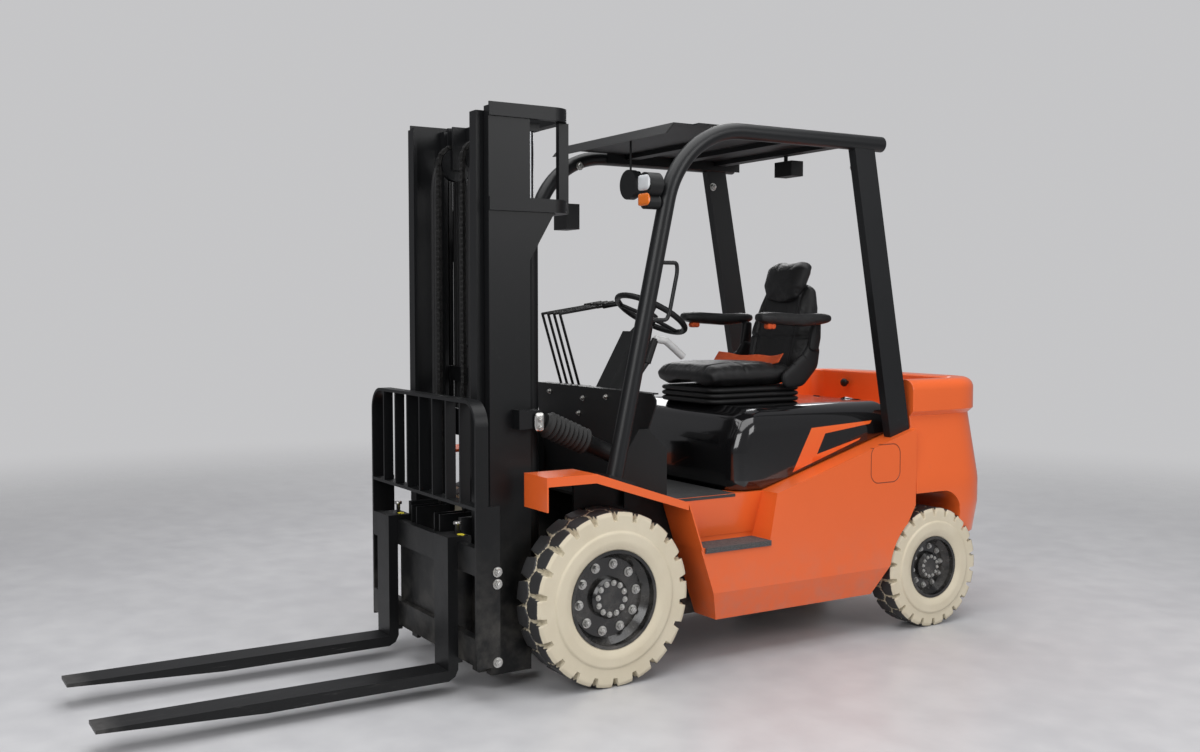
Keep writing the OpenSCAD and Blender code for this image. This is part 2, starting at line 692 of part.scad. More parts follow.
rim_grip_r = 13;
spoke_r = 9;
spoke_count = 3;
wheel_hub_r = 34;
wheel_hub_t = 30;
spinner_r = 20;
spinner_h = 44;
spinner_turn = 150;
module steering_wheel() color(black) column_place() {
  rotate_extrude() translate([steer_wheel_d / 2, 0]) circle(rim_grip_r);
  translate([0, 0, -wheel_hub_t - overrun]) cylinder(h = wheel_hub_t + overrun, r = wheel_hub_r);
  translate([0, 0, -column_top - shaft_in + overrun])
    cylinder(h = column_top + shaft_in - overrun, r = column_shaft_r);
  for (i = [0:spoke_count - 1]) rotate([0, 0, 360 * i / spoke_count + 90])
    rod([0, 0, -wheel_hub_t / 2], [steer_wheel_d / 2, 0, 0], spoke_r);
  rotate([0, 0, spinner_turn]) translate([steer_wheel_d / 2, 0, 0]) cylinder(h = spinner_h, r = spinner_r);
}

// Hydraulic levers: bent rods with grips on a block behind the cowl
lever_count = 4;
lever_x = -205;
lever_pitch = 52;
lever_r = 6;
lever_grip_r = 12;
lever_base_y = 315;
lever_base_z = 1090;
lever_bend_y = 212;
lever_bend_z = 1405;
lever_end_y = 440;
lever_end_z = 1440;
lever_grip_l = 80;
lever_bend_r = 36;
lever_block_h = 90;
lever_margin_share = 0.6;
module control_levers() color(black) placed() {
  margin = lever_pitch * lever_margin_share;
  block(lever_x - lever_pitch * (lever_count - 1) - margin, lever_x + margin,
    cowl_y + sheet_t + seat_gap, lever_base_y + lever_bend_r, lever_base_z - lever_block_h, lever_base_z);
  for (i = [0:lever_count - 1]) {
    x = lever_x - lever_pitch * i;
    base = [x, lever_base_y, lever_base_z - overrun];
    bend = [x, lever_bend_y, lever_bend_z];
    end = [x, lever_end_y, lever_end_z];
    along = (end - bend) / norm(end - bend);
    rod(base, bend, lever_r);
    translate(bend) sphere(lever_r);
    rod(bend, end, lever_r);
    rod(end - along * lever_r, end + along * lever_grip_l, lever_grip_r);
  }
}

// Park brake lever beside the column
brake_x = 150;
brake_r = 9;
brake_grip_r = 15;
brake_foot_y = 300;
brake_foot_z = 1040;
brake_mid_y = 430;
brake_mid_z = 1200;
brake_top_z = 1300;
brake_top_y = 470;
module brake_lever() color(black) placed() {
  block(brake_x - brake_grip_r, brake_x + brake_grip_r, cowl_y + sheet_t + seat_gap,
    brake_foot_y + brake_grip_r * 2, brake_foot_z - brake_grip_r * 3, brake_foot_z + brake_grip_r);
  rod([brake_x, brake_foot_y, brake_foot_z], [brake_x, brake_mid_y, brake_mid_z], brake_r);
  rod([brake_x, brake_mid_y, brake_mid_z], [brake_x, brake_top_y, brake_top_z], brake_grip_r);
}

// Grab handle on the left pillar
grab_z0 = 1384;
grab_z1 = 1605;
grab_r = 8;
grab_out = 78;
function pillar_y(z) = pillar_foot_y + (z - pillar_foot_z) / tan(pillar_lean);
function grip(z) = [tube_x, pillar_y(z) + tube_r + grab_out, z];
module grab_handle() color(black) placed() difference() {
  union() {
    for (z = [grab_z0, grab_z1]) rod([tube_x, pillar_y(z), z], grip(z), grab_r);
    rod(grip(grab_z0 - grab_r), grip(grab_z1 + grab_r), grab_r);
  }
  guard_tube(tube_r + seat_gap);
}

// Lamps: one on each front pillar, a square work lamp and a rear lamp
lamp_z = 1900;
lamp_r = 46;
lamp_l = 60;
lamp_arm_r = 9;
lamp_gap = 24;
lamp_low = 66;
lamp_low_r = 28;
work_y = 430;
work_z = 1850;
work_half = 58;
work_t = 70;
rear_lamp_y = 1320;
rear_lamp_x = 60;
rear_lamp_h = 46;
rear_lamp_d = 70;
module lamps() color(black) placed() {
  back_y = pillar_y(lamp_z) - tube_r - lamp_gap;
  both_sides() difference() {
    union() {
      translate([tube_x, back_y, lamp_z]) rotate([90, 0, 0]) cylinder(h = lamp_l, r = lamp_r);
      translate([tube_x, back_y, lamp_z - lamp_low]) rotate([90, 0, 0]) cylinder(h = lamp_l, r = lamp_low_r);
      rod([tube_x, pillar_y(lamp_z), lamp_z], [tube_x, back_y - lamp_l / 2, lamp_z], lamp_arm_r);
    }
    guard_tube(tube_r + seat_gap);
  }
  work_top = guard_z - guard_bend_r + sqrt(pow(guard_bend_r, 2) - pow(bend_y - work_y, 2));
  mirror([1, 0, 0]) difference() {
    union() {
      block(tube_x - work_half, tube_x + work_half, work_y - work_t / 2, work_y + work_t / 2,
        work_z - work_half, work_z + work_half);
      rod([tube_x, work_y, work_z], [tube_x, work_y, work_top], lamp_arm_r);
    }
    guard_tube(tube_r + seat_gap);
  }
  ceiling = roof_top - roof_t - rib_h - seat_gap;
  block(-rear_lamp_x, rear_lamp_x, rear_lamp_y - rear_lamp_d / 2, rear_lamp_y + rear_lamp_d / 2,
    ceiling - rear_lamp_h * 2, ceiling - rear_lamp_h / 2);
  translate([0, rear_lamp_y - rear_lamp_d / 4, ceiling - rear_lamp_h])
    cylinder(h = rear_lamp_h, r = lamp_arm_r);
}

// Mirror under the front of the roof
mirror_y = 400;
mirror_z = 1945;
mirror_x = 90;
mirror_half_h = 62;
mirror_t = 30;
module view_mirror() color(black) placed() {
  rod_y = mirror_y - mirror_t / 2;
  translate([mirror_x, mirror_y, mirror_z]) rotate([90, 0, 0]) cylinder(h = mirror_t, r = mirror_half_h);
  rod([mirror_x, rod_y, mirror_z], [mirror_x, rod_y, roof_top - roof_t - seat_gap], lamp_arm_r / 2);
}

// Hood: a lid over the battery, hinged at its rear end
hood_x = 470;
hood_top_x = 350;
hood_shoulder_z = 905;
hood_rear_y = 1530;
hood_nose_y = 705;
hood_nose_z = 978;
hood_brow_z = 850;
hood_wall = 8;
hood_edge = 20;
hood_brow_h = 60;
hood_top_l = 80;
hood_bevel_h = 40;
ear_l = 34;
module hood_side(inset, drop) offset(delta = -inset) polygon([
  [hood_front_y, sill_z + lid_gap - drop], [hood_front_y, hood_brow_z],
  [hood_front_y + hood_edge, hood_brow_z + hood_brow_h],
  [hood_nose_y, hood_nose_z], [hood_nose_y + hood_top_l, hood_z], [hood_rear_y - hood_edge, hood_z],
  [hood_rear_y, hood_z - hood_edge], [hood_rear_y, sill(hood_rear_y) + lid_gap - drop],
  [sill_bend_y, sill_z + lid_gap - drop]
]);
module hood_front(inset) offset(delta = -inset) polygon([
  [-hood_x, 0], [hood_x, 0], [hood_x, hood_shoulder_z], [hood_x - hood_edge, hood_shoulder_z + hood_bevel_h],
  [hood_top_x, hood_z], [-hood_top_x, hood_z], [-hood_x + hood_edge, hood_shoulder_z + hood_bevel_h],
  [-hood_x, hood_shoulder_z]
]);
module hood() color(black) placed() {
  difference() {
    intersection() {
      along_x(-hood_x, hood_x) hood_side(0, 0);
      along_y(0, rear_reach) hood_front(0);
    }
    intersection() {
      along_x(-hood_x, hood_x) hood_side(hood_wall, hood_top_l);
      along_y(0, rear_reach) hood_front(hood_wall);
    }
  }
  both_sides() {
    x0 = hinge_x + hinge_l + seat_gap * 2;
    along_x(x0, x0 + ear_l) {
      translate([hinge_y, hinge_z]) circle(hinge_r);
      polygon([
        [hinge_y, hinge_z - hinge_r], [hinge_y, hinge_z + hinge_r],
        [hood_rear_y - hood_wall / 2, hinge_z + hinge_r],
        [hood_rear_y - hood_wall / 2, hinge_z - hinge_r + lid_gap]
      ]);
    }
    bar_x(x0 - hinge_l, x0 + ear_l, hinge_y, hinge_z, hinge_pin_r);
  }
}

// Operator seat
seat_base_x = 215;
seat_base_y0 = 725;
seat_base_y1 = 1240;
seat_base_top = 1085;
cushion_y0 = 692;
cushion_y1 = 1200;
cushion_z = 1190;
cushion_front_z = 1172;
cushion_edge = 20;
cushion_crown = 60;
cushion_lip = 40;
back_foot_y = 1200;
back_foot_z = 1105;
back_lean = 12;
back_h = 545;
back_t = 110;
back_w_share = 0.92;
back_top_share = 0.62;
module seat_base() color(black) placed() {
  block(-seat_base_x, seat_base_x, seat_base_y0, seat_base_y1, hood_z + seat_gap, seat_base_top);
}
module seat_cushion() color(black) placed() along_x(-seat_w / 2, seat_w / 2) polygon([
  [cushion_y0 + cushion_edge, seat_base_top + seat_gap], [cushion_y1, seat_base_top + seat_gap],
  [cushion_y1, cushion_z - cushion_edge], [cushion_y0 + cushion_crown, cushion_z],
  [cushion_y0 + cushion_edge, cushion_front_z], [cushion_y0, cushion_front_z - cushion_lip]
]);
back_half = seat_w * back_w_share / 2;
module seat_back() color(black) placed() translate([0, back_foot_y, back_foot_z]) rotate([-back_lean, 0, 0])
  translate([0, seat_gap, 0]) along_y(0, back_t) polygon([
    [-back_half, 0], [back_half, 0], [back_half, back_h * back_top_share], [back_half / 2, back_h],
    [-back_half / 2, back_h], [-back_half, back_h * back_top_share]
  ]);

arm_z = 1360;
arm_t = 46;
arm_w = 66;
arm_y0 = 915;
arm_y1 = 1335;
arm_bolt_z = 1290;
module armrests() color(black) placed() both_sides() {
  x0 = seat_w / 2 + move_gap;
  block(x0, x0 + arm_w, arm_y0, arm_y1, arm_z, arm_z + arm_t);
  block(back_half + seat_gap, x0 + arm_w / 3, arm_y1 - arm_t * 2, arm_y1 - arm_t, arm_bolt_z, arm_z + arm_t);
}

// Tilt cylinders: barrels on frame pins, rods with ribbed boots that run over the barrels
tilt_barrel_r = 34;
tilt_barrel_l = 300;
tilt_neck_r = 12;
tilt_rod_r = 14;
boot_in = 38;
boot_out = 52;
boot_wall = 5;
boot_l = 190;
boot_ribs = 9;
boot_cap_t = 14;
eye_slack = 10;
module tilt_barrels() color(black) tilt_place() difference() {
  union() {
    bar_x(-tilt_eye_t / 2, tilt_eye_t / 2, 0, 0, tilt_eye_r);
    translate([0, 0, tilt_eye_r + move_gap])
      cylinder(h = tilt_barrel_l - tilt_eye_r - move_gap, r = tilt_barrel_r);
    cylinder(h = tilt_eye_r + move_gap * 2, r = tilt_neck_r);
  }
  bar_x(-tilt_eye_r * 2, tilt_eye_r * 2, 0, 0, tilt_pin_r + run_fit);
  translate([0, 0, tilt_eye_r * 2]) cylinder(h = tilt_barrel_l, r = tilt_rod_r + run_fit);
}
module tilt_rods() color(black) tilt_place() {
  difference() {
    union() {
      translate([0, 0, tilt_len]) bar_x(-tilt_eye_t / 2, tilt_eye_t / 2, 0, 0, tilt_eye_r);
      translate([0, 0, tilt_len - tilt_barrel_l + tilt_rod_r])
        cylinder(h = tilt_barrel_l - tilt_rod_r * 2, r = tilt_rod_r);
    }
    translate([0, 0, tilt_len]) bar_x(-tilt_eye_r * 2, tilt_eye_r * 2, 0, 0, tilt_pin_r + eye_slack);
  }
  top = tilt_len - tilt_eye_r - boot_cap_t - move_gap;
  valley = boot_in + boot_wall;
  rotate_extrude() polygon(concat(
    [[tilt_rod_r - seat_gap, top + boot_cap_t], [tilt_rod_r - seat_gap, top]],
    [[boot_in, top], [boot_in, top - boot_l]],
    [for (i = [0:2 * boot_ribs])
      [i % 2 == 0 ? valley : boot_out, top - boot_l + boot_l * i / (2 * boot_ribs)]],
    [[boot_in, top + boot_cap_t]]
  ));
}

// Outer mast: channel rails, crossmembers, pivots and lift barrels
outer_web = 14;
outer_flange = 38;
outer_flange_t = 18;
rail_rear = rail_front - rail_d;
cap_h = 50;
cap_t = 8;
yoke_rear = 50;
yoke_r = 84;
yoke_bar = 42;
yoke_arm = 28;
yoke_z2 = 1790;
strap_x = 295;
strap_w = 24;
cross_t = 20;
cross_z = 900;
cross_h = 110;
foot_cross_h = 190;
pivot_x = 304;
pivot_t = 40;
pivot_r = 104;
pivot_half = 120;
lift_x = 262;
lift_y = -195;
lift_barrel_r = 36;
lift_rod_r = 20;
lift_foot = 120;
barrel_spare = 100;
lift_barrel_top = lift_foot + lift_stroke + barrel_spare;
shelf_t = 24;
module outer_rails() color(black) placed() both_sides()
  translate([0, 0, mast_foot]) linear_extrude(mast_h - cap_h / 4 - mast_foot) difference() {
    translate([outer_x - outer_flange, -rail_front]) square([outer_flange, rail_d]);
    translate([outer_x - outer_flange - overrun, -rail_front + outer_flange_t])
      square([outer_flange + overrun - outer_web, rail_d - 2 * outer_flange_t]);
  }

module yoke_plan(x, rear, r) {
  translate([-x, -rail_front]) square([2 * x, rail_front - rear - r]);
  translate([-x + r, -rail_front]) square([2 * (x - r), rail_front - rear]);
  for (s = [-1, 1]) translate([s * (x - r), -rear - r]) circle(r);
}
module yoke(z) translate([0, 0, z]) linear_extrude(cap_h) difference() {
  yoke_plan(outer_x + cap_t, yoke_rear, yoke_r);
  translate([0, -overrun])
    yoke_plan(outer_x + cap_t - yoke_arm, yoke_rear + yoke_bar - overrun, yoke_r - yoke_arm);
  translate([-outer_x, -rail_front - overrun * 2]) square([2 * outer_x, rail_d + overrun * 2]);
}

bracket_t = 13;
bracket_front = 66;
bracket_eye_r = 32;
gusset_h = 180;
module outer_crossmembers() color(black) placed() {
  yoke(mast_h - cap_h);
  yoke(yoke_z2);
  both_sides() {
    block(strap_x, strap_x + strap_w, -yoke_rear - yoke_bar, -yoke_rear, yoke_z2, mast_h - cap_h);
    along_x(outer_x + cap_t - yoke_arm, outer_x) polygon([
      [-rail_rear, yoke_z2 - gusset_h], [-rail_rear, yoke_z2], [-yoke_rear - yoke_r, yoke_z2]
    ]);
    block(lift_x - lift_barrel_r - plate_t / 2, lift_x + lift_barrel_r, -rail_rear - cross_t,
      lift_y + lift_barrel_r + plate_t / 2, lift_foot - shelf_t, lift_foot);
    difference() {
      along_x(pivot_x, pivot_x + pivot_t) {
        translate([0, front_axle_z]) circle(pivot_r);
        polygon([
          [-rail_rear, front_axle_z - pivot_half], [0, front_axle_z - pivot_r], [0, front_axle_z + pivot_r],
          [-rail_rear, front_axle_z + pivot_half]
        ]);
      }
      bar_x(pivot_x - overrun, pivot_x + pivot_t + overrun, 0, front_axle_z, axle_tube_r + run_fit);
    }
    bracket_y = tilt_front_y - bracket_front;
    clevis_pair() {
      translate([tilt_front_y, tilt_front_z]) circle(bracket_eye_r);
      polygon([
        [tilt_front_y, tilt_front_z - bracket_eye_r], [tilt_front_y, tilt_front_z + bracket_eye_r],
        [bracket_y, tilt_front_z + tilt_eye_r], [bracket_y, tilt_front_z - tilt_eye_r]
      ]);
    }
    block(outer_x, clevis_out, bracket_y - bracket_t, bracket_y,
      tilt_front_z - tilt_eye_r, tilt_front_z + tilt_eye_r);
    bar_x(outer_x, clevis_out + pin_out, tilt_front_y, tilt_front_z, tilt_pin_r);
  }
  inner = outer_x - outer_flange;
  low = mast_foot + cross_t;
  block(-inner, inner, -rail_rear - cross_t, -rail_rear, low, low + foot_cross_h);
  block(-inner, inner, -rail_rear - cross_t, -rail_rear, cross_z, cross_z + cross_h);
}

module lift_place() placed() both_sides() translate([lift_x, lift_y, 0]) children();
module lift_barrels() color(black) lift_place() difference() {
  translate([0, 0, lift_foot]) cylinder(h = lift_barrel_top - lift_foot, r = lift_barrel_r);
  translate([0, 0, lift_foot + shelf_t]) cylinder(h = lift_barrel_top, r = lift_rod_r + run_fit);
}

// Inner mast: channel rails with foot rollers, ties, sheaves, rods and chains
rail_run = 5;
inner_x = outer_x - outer_flange - rail_run;
inner_lead = 30;
inner_d = 152;
inner_flange = 54;
inner_web = 14;
inner_flange_t = 16;
inner_front = rail_front + inner_lead;
inner_rear = inner_front - inner_d;
inner_drop = 28;
inner_foot = mast_foot + move_gap;
inner_top = mast_h - inner_drop;
roller_axle_r = 24;
outer_roller_r = rail_d / 2 - outer_flange_t - seat_gap;
outer_roller_z = 150;
roller_gap = 5;
tie_t = 20;
tie_h = 60;
tie_drop = 6;
head_lift = 10;
tie_top = inner_top - tie_drop;
head_z = tie_top - tie_h + head_lift;
head_t = 32;
head_half = 32;
sheave_x = 110;
sheave_r = 74;
sheave_t = 30;
sheave_y = -325;
sheave_drop = 14;
sheave_z = tie_top - tie_h - sheave_r - sheave_drop;
chain_w = 26;
chain_t = 16;
chain_front_foot = 570;
cheek_t = 8;
module inner_rails() color(black) placed() both_sides() {
  translate([0, 0, inner_foot]) linear_extrude(inner_top - inner_foot) difference() {
    translate([inner_x - inner_flange, -inner_front]) square([inner_flange, inner_d]);
    translate([inner_x - inner_flange - overrun, -inner_front + inner_flange_t])
      square([inner_flange + overrun - inner_web, inner_d - 2 * inner_flange_t]);
  }
  roller_y = -rail_front + rail_d / 2;
  roller_x = inner_x + rail_run + roller_gap;
  bar_x(inner_x - inner_web / 2, roller_x, roller_y, outer_roller_z, roller_axle_r);
  bar_x(roller_x, outer_x - outer_web - roller_gap, roller_y, outer_roller_z, outer_roller_r);
}

module inner_crossmembers() color(black) placed() {
  for (z = [inner_foot + tie_h, cross_z + cross_h + tie_h * 2, tie_top - tie_h])
    block(-inner_x, inner_x, -inner_rear, -inner_rear + tie_t, z, z + tie_h);
  both_sides() {
    block(lift_x - head_half, lift_x + head_half, -inner_rear, lift_y + head_half, head_z, head_z + head_t);
    cheek_half = sheave_t / 2 + clevis_gap;
    x0 = sheave_x - cheek_half - cheek_t;
    x1 = sheave_x + cheek_half;
    for (x = [x0, x1]) along_x(x, x + cheek_t) polygon([
      [sheave_y - roller_axle_r, sheave_z - roller_axle_r],
      [sheave_y + roller_axle_r, sheave_z - roller_axle_r],
      [-inner_rear + tie_t, tie_top - tie_h], [-inner_rear + tie_t, tie_top],
      [sheave_y - roller_axle_r, tie_top]
    ]);
    bar_x(x0, x1 + cheek_t, sheave_y, sheave_z, roller_axle_r / 2);
    bar_x(sheave_x - sheave_t / 2, sheave_x + sheave_t / 2, sheave_y, sheave_z,
      sheave_r - chain_t / 2 - seat_gap);
  }
}

module lift_rods() color(steel) lift_place()
  translate([0, 0, lift_foot + shelf_t + seat_gap])
    cylinder(h = head_z - lift_foot - shelf_t - seat_gap, r = lift_rod_r);

module chains() color(satin) placed() both_sides() {
  translate([sheave_x - chain_w / 2, sheave_y, sheave_z])
  rotate([90, 0, 90]) linear_extrude(chain_w) difference() {
    union() {
      circle(sheave_r + chain_t / 2);
      translate([-sheave_r - chain_t / 2, chain_front_foot - sheave_z])
        square([chain_t, sheave_z - chain_front_foot]);
      translate([sheave_r - chain_t / 2, cross_z + cross_h + seat_gap - sheave_z])
        square([chain_t, sheave_z - cross_z - cross_h - seat_gap]);
    }
    circle(sheave_r - chain_t / 2);
    translate([-sheave_r + chain_t / 2, -sheave_r * 2]) square([2 * sheave_r - chain_t, sheave_r * 2]);
    difference() {
      translate([-sheave_r * 2, -sheave_r * 2]) square([sheave_r * 4, sheave_r * 2]);
      translate([-sheave_r - chain_t / 2, -sheave_r * 2]) square([2 * sheave_r + chain_t, sheave_r * 2]);
    }
  }
}

// Carriage: two fork bars on roller plates
shank_y = -(fork_reach - fork_l);
bar_front = shank_y + fork_t;
bar_t = 35;
bar_h = 100;
bar_low_z = 140;
bar_high_z = 470;
leg_t = 12;
hook_t = 20;
hook_lip = 26;
bar_rear = bar_front + bar_t;
hook_rear = bar_rear + hook_t;
shank_top = bar_high_z + bar_h + hook_t;
hook_foot = shank_top - hook_t - hook_lip;
plate_x = 226;
carriage_plate_t = 24;
carriage_plate_top = 640;
carriage_roller_r = inner_d / 2 - inner_flange_t - seat_gap;
carriage_roller_w = 30;
carriage_roller_z = [215, 570];
module carriage() color(black) placed() {
  half = carriage_w / 2 - leg_t;
  for (z = [bar_low_z, bar_high_z]) block(-half, half, bar_front, bar_front + bar_t, z, z + bar_h);
  roller_y = -inner_front + inner_d / 2;
  block(-plate_x, plate_x, bar_front + bar_t - plate_t, bar_front + bar_t, bar_low_z + bar_h, bar_high_z);
  both_sides() {
    along_x(plate_x, plate_x + carriage_plate_t) polygon([
      [bar_rear - plate_t, bar_low_z], [roller_y + roller_axle_r * 2, bar_low_z + plate_t],
      [roller_y + roller_axle_r * 2, carriage_plate_top], [hook_rear + move_gap, carriage_plate_top],
      [hook_rear + move_gap, hook_foot - move_gap], [bar_rear - plate_t, hook_foot - move_gap]
    ]);
    roller_out = inner_x - inner_web - roller_gap;
    for (z = carriage_roller_z) {
      bar_x(plate_x, roller_out, roller_y, z, roller_axle_r);
      bar_x(roller_out - carriage_roller_w, roller_out, roller_y, z, carriage_roller_r);
    }
    cheek_half = sheave_t / 2 + move_gap;
    for (x = [sheave_x - cheek_half - cheek_t, sheave_x + cheek_half])
      block(x, x + cheek_t, bar_rear - plate_t, sheave_y - sheave_r + chain_t,
        bar_high_z, carriage_plate_top);
  }
}

// Load backrest: bent strip frame with upright bars, on legs bolted to the bar ends
leg_d = 95;
leg_foot = 130;
strip_d = 50;
strip_r = 92;
rail_z = 705;
bar_thin = 10;
bar_deep = 40;
module rest_outline(inset) {
  x = carriage_w / 2 - inset;
  r = strip_r - inset;
  translate([-x, rail_z]) square([2 * x, backrest_top - strip_r - rail_z]);
  translate([-x + r, rail_z]) square([2 * (x - r), backrest_top - inset - rail_z]);
  for (s = [-1, 1]) translate([s * (x - r), backrest_top - strip_r]) circle(r);
}
module load_backrest() color(black) placed() {
  y0 = bar_front;
  half = carriage_w / 2 - leg_t;
  along_y(y0, y0 + strip_d) difference() {
    rest_outline(0);
    rest_outline(leg_t);
  }
  both_sides() block(half, half + leg_t, y0, y0 + leg_d, leg_foot, rail_z + leg_t);
  block(-half, half, y0, y0 + strip_d, rail_z, rail_z + leg_t);
  for (i = [1:backrest_bars]) {
    x = -half + 2 * half * i / (backrest_bars + 1);
    block(x - bar_thin / 2, x + bar_thin / 2, y0, y0 + bar_deep, rail_z, backrest_top - leg_t / 2);
  }
}

// Forks: tapered blades with hooked shanks
fork_x = fork_gap / 2 + fork_w / 2;
tip_t = 12;
taper_share = 0.45;
heel_r = 40;
module forks() color(black) placed() both_sides() along_x(fork_x - fork_w / 2, fork_x + fork_w / 2) polygon([
  [-fork_reach, fork_foot + fork_t - tip_t], [-fork_reach, fork_foot + fork_t], [shank_y, fork_foot + fork_t],
  [shank_y, shank_top], [hook_rear, shank_top], [hook_rear, hook_foot], [bar_rear + seat_gap, hook_foot],
  [bar_rear + seat_gap, shank_top - hook_t], [bar_front, shank_top - hook_t],
  [bar_front, bar_low_z], [bar_front + bar_t / 2, bar_low_z - seat_gap],
  [bar_front + bar_t / 2, bar_low_z - hook_t], [bar_front, bar_low_z - hook_t],
  [bar_front, fork_foot + heel_r], [bar_front - heel_r / 3, fork_foot + heel_r / 3],
  [bar_front - heel_r, fork_foot], [-fork_reach + fork_l * taper_share, fork_foot]
]);

frame();
side_panel_left();
side_panel_right();
fenders();
step_plates();
floor_plate();
cowl();
battery();
counterweight();
guard_tubes();
guard_posts();
roof_panel();
steering_column();
control_levers();
brake_lever();
grab_handle();
lamps();
view_mirror();
drive_axle();
steer_axle();
hood();
seat_base();
seat_cushion();
seat_back();
armrests();
steering_wheel();
knuckle_left();
knuckle_right();
front_tyre_left();
front_tyre_right();
rear_tyre_left();
rear_tyre_right();
front_rim_left();
front_rim_right();
rear_rim_left();
rear_rim_right();
tilt_barrels();
tilt_rods();
outer_rails();
outer_crossmembers();
lift_barrels();
inner_rails();
inner_crossmembers();
lift_rods();
chains();
carriage();
load_backrest();
forks();
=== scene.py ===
import math

import bmesh
import bpy
import numpy as np
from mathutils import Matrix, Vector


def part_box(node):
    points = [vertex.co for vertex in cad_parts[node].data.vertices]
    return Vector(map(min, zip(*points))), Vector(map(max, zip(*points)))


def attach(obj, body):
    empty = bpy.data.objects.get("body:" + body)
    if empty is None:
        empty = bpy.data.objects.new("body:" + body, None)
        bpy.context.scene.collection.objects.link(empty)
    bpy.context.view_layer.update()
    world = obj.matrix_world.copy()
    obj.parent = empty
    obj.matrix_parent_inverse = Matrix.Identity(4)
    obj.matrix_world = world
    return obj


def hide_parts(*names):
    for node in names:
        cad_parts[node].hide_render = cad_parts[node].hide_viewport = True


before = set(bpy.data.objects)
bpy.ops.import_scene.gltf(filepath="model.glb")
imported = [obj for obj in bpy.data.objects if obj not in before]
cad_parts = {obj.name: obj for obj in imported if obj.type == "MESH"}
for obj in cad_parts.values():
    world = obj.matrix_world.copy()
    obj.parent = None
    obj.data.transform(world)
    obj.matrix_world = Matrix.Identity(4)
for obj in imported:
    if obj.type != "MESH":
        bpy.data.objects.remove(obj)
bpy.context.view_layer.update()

# Studio: a pale polished floor that fades into a plain grey room, broad soft lamps overhead and at the front,
# and a camera at chest height off the truck's front left corner.
focal_px, picture_px = 1232.7, 1200.0
view = bpy.data.cameras.new("view")
view.sensor_width, view.lens, view.clip_end = 36.0, 36.0 * focal_px / picture_px, 200.0
look_down, look_round = 0.0548, 1.0162
view_stand = bpy.data.objects.new("view", view)
view_stand.location = (4.4402, -2.6208, 1.4287)
view_stand.rotation_euler = (math.pi / 2 - look_down, 0.0, look_round)
bpy.context.scene.collection.objects.link(view_stand)
bpy.context.scene.camera = view_stand
bpy.context.scene.view_settings.view_transform = "Standard"

for name, spot, size, watts, turn in (
    ("lamp_roof", (0.6, -0.2, 5.2), 6.0, 300.0, (0.0, 0.0, 0.0)),
    ("lamp_front", (3.8, -5.2, 3.6), 3.2, 150.0, (1.02, 0.0, 0.63)),
    ("lamp_side", (6.2, 2.6, 3.4), 3.0, 120.0, (1.10, 0.0, 1.97)),
    ("lamp_back", (-5.0, 4.0, 4.0), 3.5, 120.0, (-0.95, 0.0, 0.90)),
):
    lamp = bpy.data.lights.new(name, "AREA")
    lamp.size, lamp.energy = size, watts
    stand = bpy.data.objects.new(name, lamp)
    stand.location, stand.rotation_euler = spot, turn
    bpy.context.scene.collection.objects.link(stand)


class Tone:
    """A shader socket: sums, products and quotients with numbers or other tones add Math nodes."""

    def __init__(self, tree, socket):
        self.tree, self.socket = tree, socket

    def node(self, kind, settings=None, out=0, **sockets):
        """Adds a node: its settings first, then the value or the link of each socket (_3 is input number 3)."""
        made = self.tree.nodes.new(kind)
        for key, value in (settings or {}).items():
            setattr(made, key, value)
        for key, value in sockets.items():
            target = made.inputs[int(key[1:]) if key[0] == "_" else key.replace("_", " ")]
            if isinstance(value, Tone):
                self.tree.links.new(value.socket, target)
            else:
                target.default_value = value
        return Tone(self.tree, made.outputs[out])

    def math(self, operation, a, b=0.0):
        return self.node("ShaderNodeMath", {"operation": operation}, _0=a, _1=b)

    def __add__(self, other):
        return self.math("ADD", self, other)

    def __sub__(self, other):
        return self.math("SUBTRACT", self, other)

    def __rsub__(self, other):
        return self.math("SUBTRACT", other, self)

    def __mul__(self, other):
        return self.math("MULTIPLY", self, other)

    __radd__, __rmul__ = __add__, __mul__

    def rise(self, low, high):
        """0 below low, 1 above high, a smooth step between; falls where high is less than low."""
        if low <= high:
            return self.node("ShaderNodeMapRange", {"interpolation_type": "SMOOTHSTEP"},
                             Value=self, From_Min=low, From_Max=high)
        return 1.0 - self.rise(high, low)

    def ribs(self, turn):
        """Sine of this tone times turn: even ribs and hollows, turn radians to the metre."""
        return self.math("SINE", self * turn)

    def cloud(self, scale, detail=3.0, rough=0.5):
        """Noise between 0 and 1 at this place, scale blotches to the metre."""
        return self.node("ShaderNodeTexNoise", Vector=self, Scale=scale, Detail=detail, Roughness=rough)

    def axis(self, k):
        return self.node("ShaderNodeSeparateXYZ", out=k, Vector=self)

    def tint(self, low, high):
        """Colour low where this tone is 0, high where it is 1."""
        ends = [c if isinstance(c, Tone) else (*c, 1.0) for c in (low, high)]
        return self.node("ShaderNodeMix", {"data_type": "RGBA"}, out=2, _0=self, _6=ends[0], _7=ends[1])


def finish(name, recipe, **fixed):
    """New material: fixed values go on the shader, then recipe(place) gives the sockets that vary by place."""
    material = bpy.data.materials.new(name)
    material.use_nodes = True
    shader = material.node_tree.nodes["Principled BSDF"]
    for key, value in fixed.items():
        shader.inputs[key.replace("_", " ")].default_value = value
    start = Tone(material.node_tree, None)
    place = start.node("ShaderNodeTexCoord", out=3)
    for key, tone in recipe(place).items():
        if key == "Height":
            tone = place.node("ShaderNodeBump", Height=tone, Strength=1.0, Distance=1.0)
            key = "Normal"
        material.node_tree.links.new(tone.socket, shader.inputs[key.replace("_", " ")])
    return material


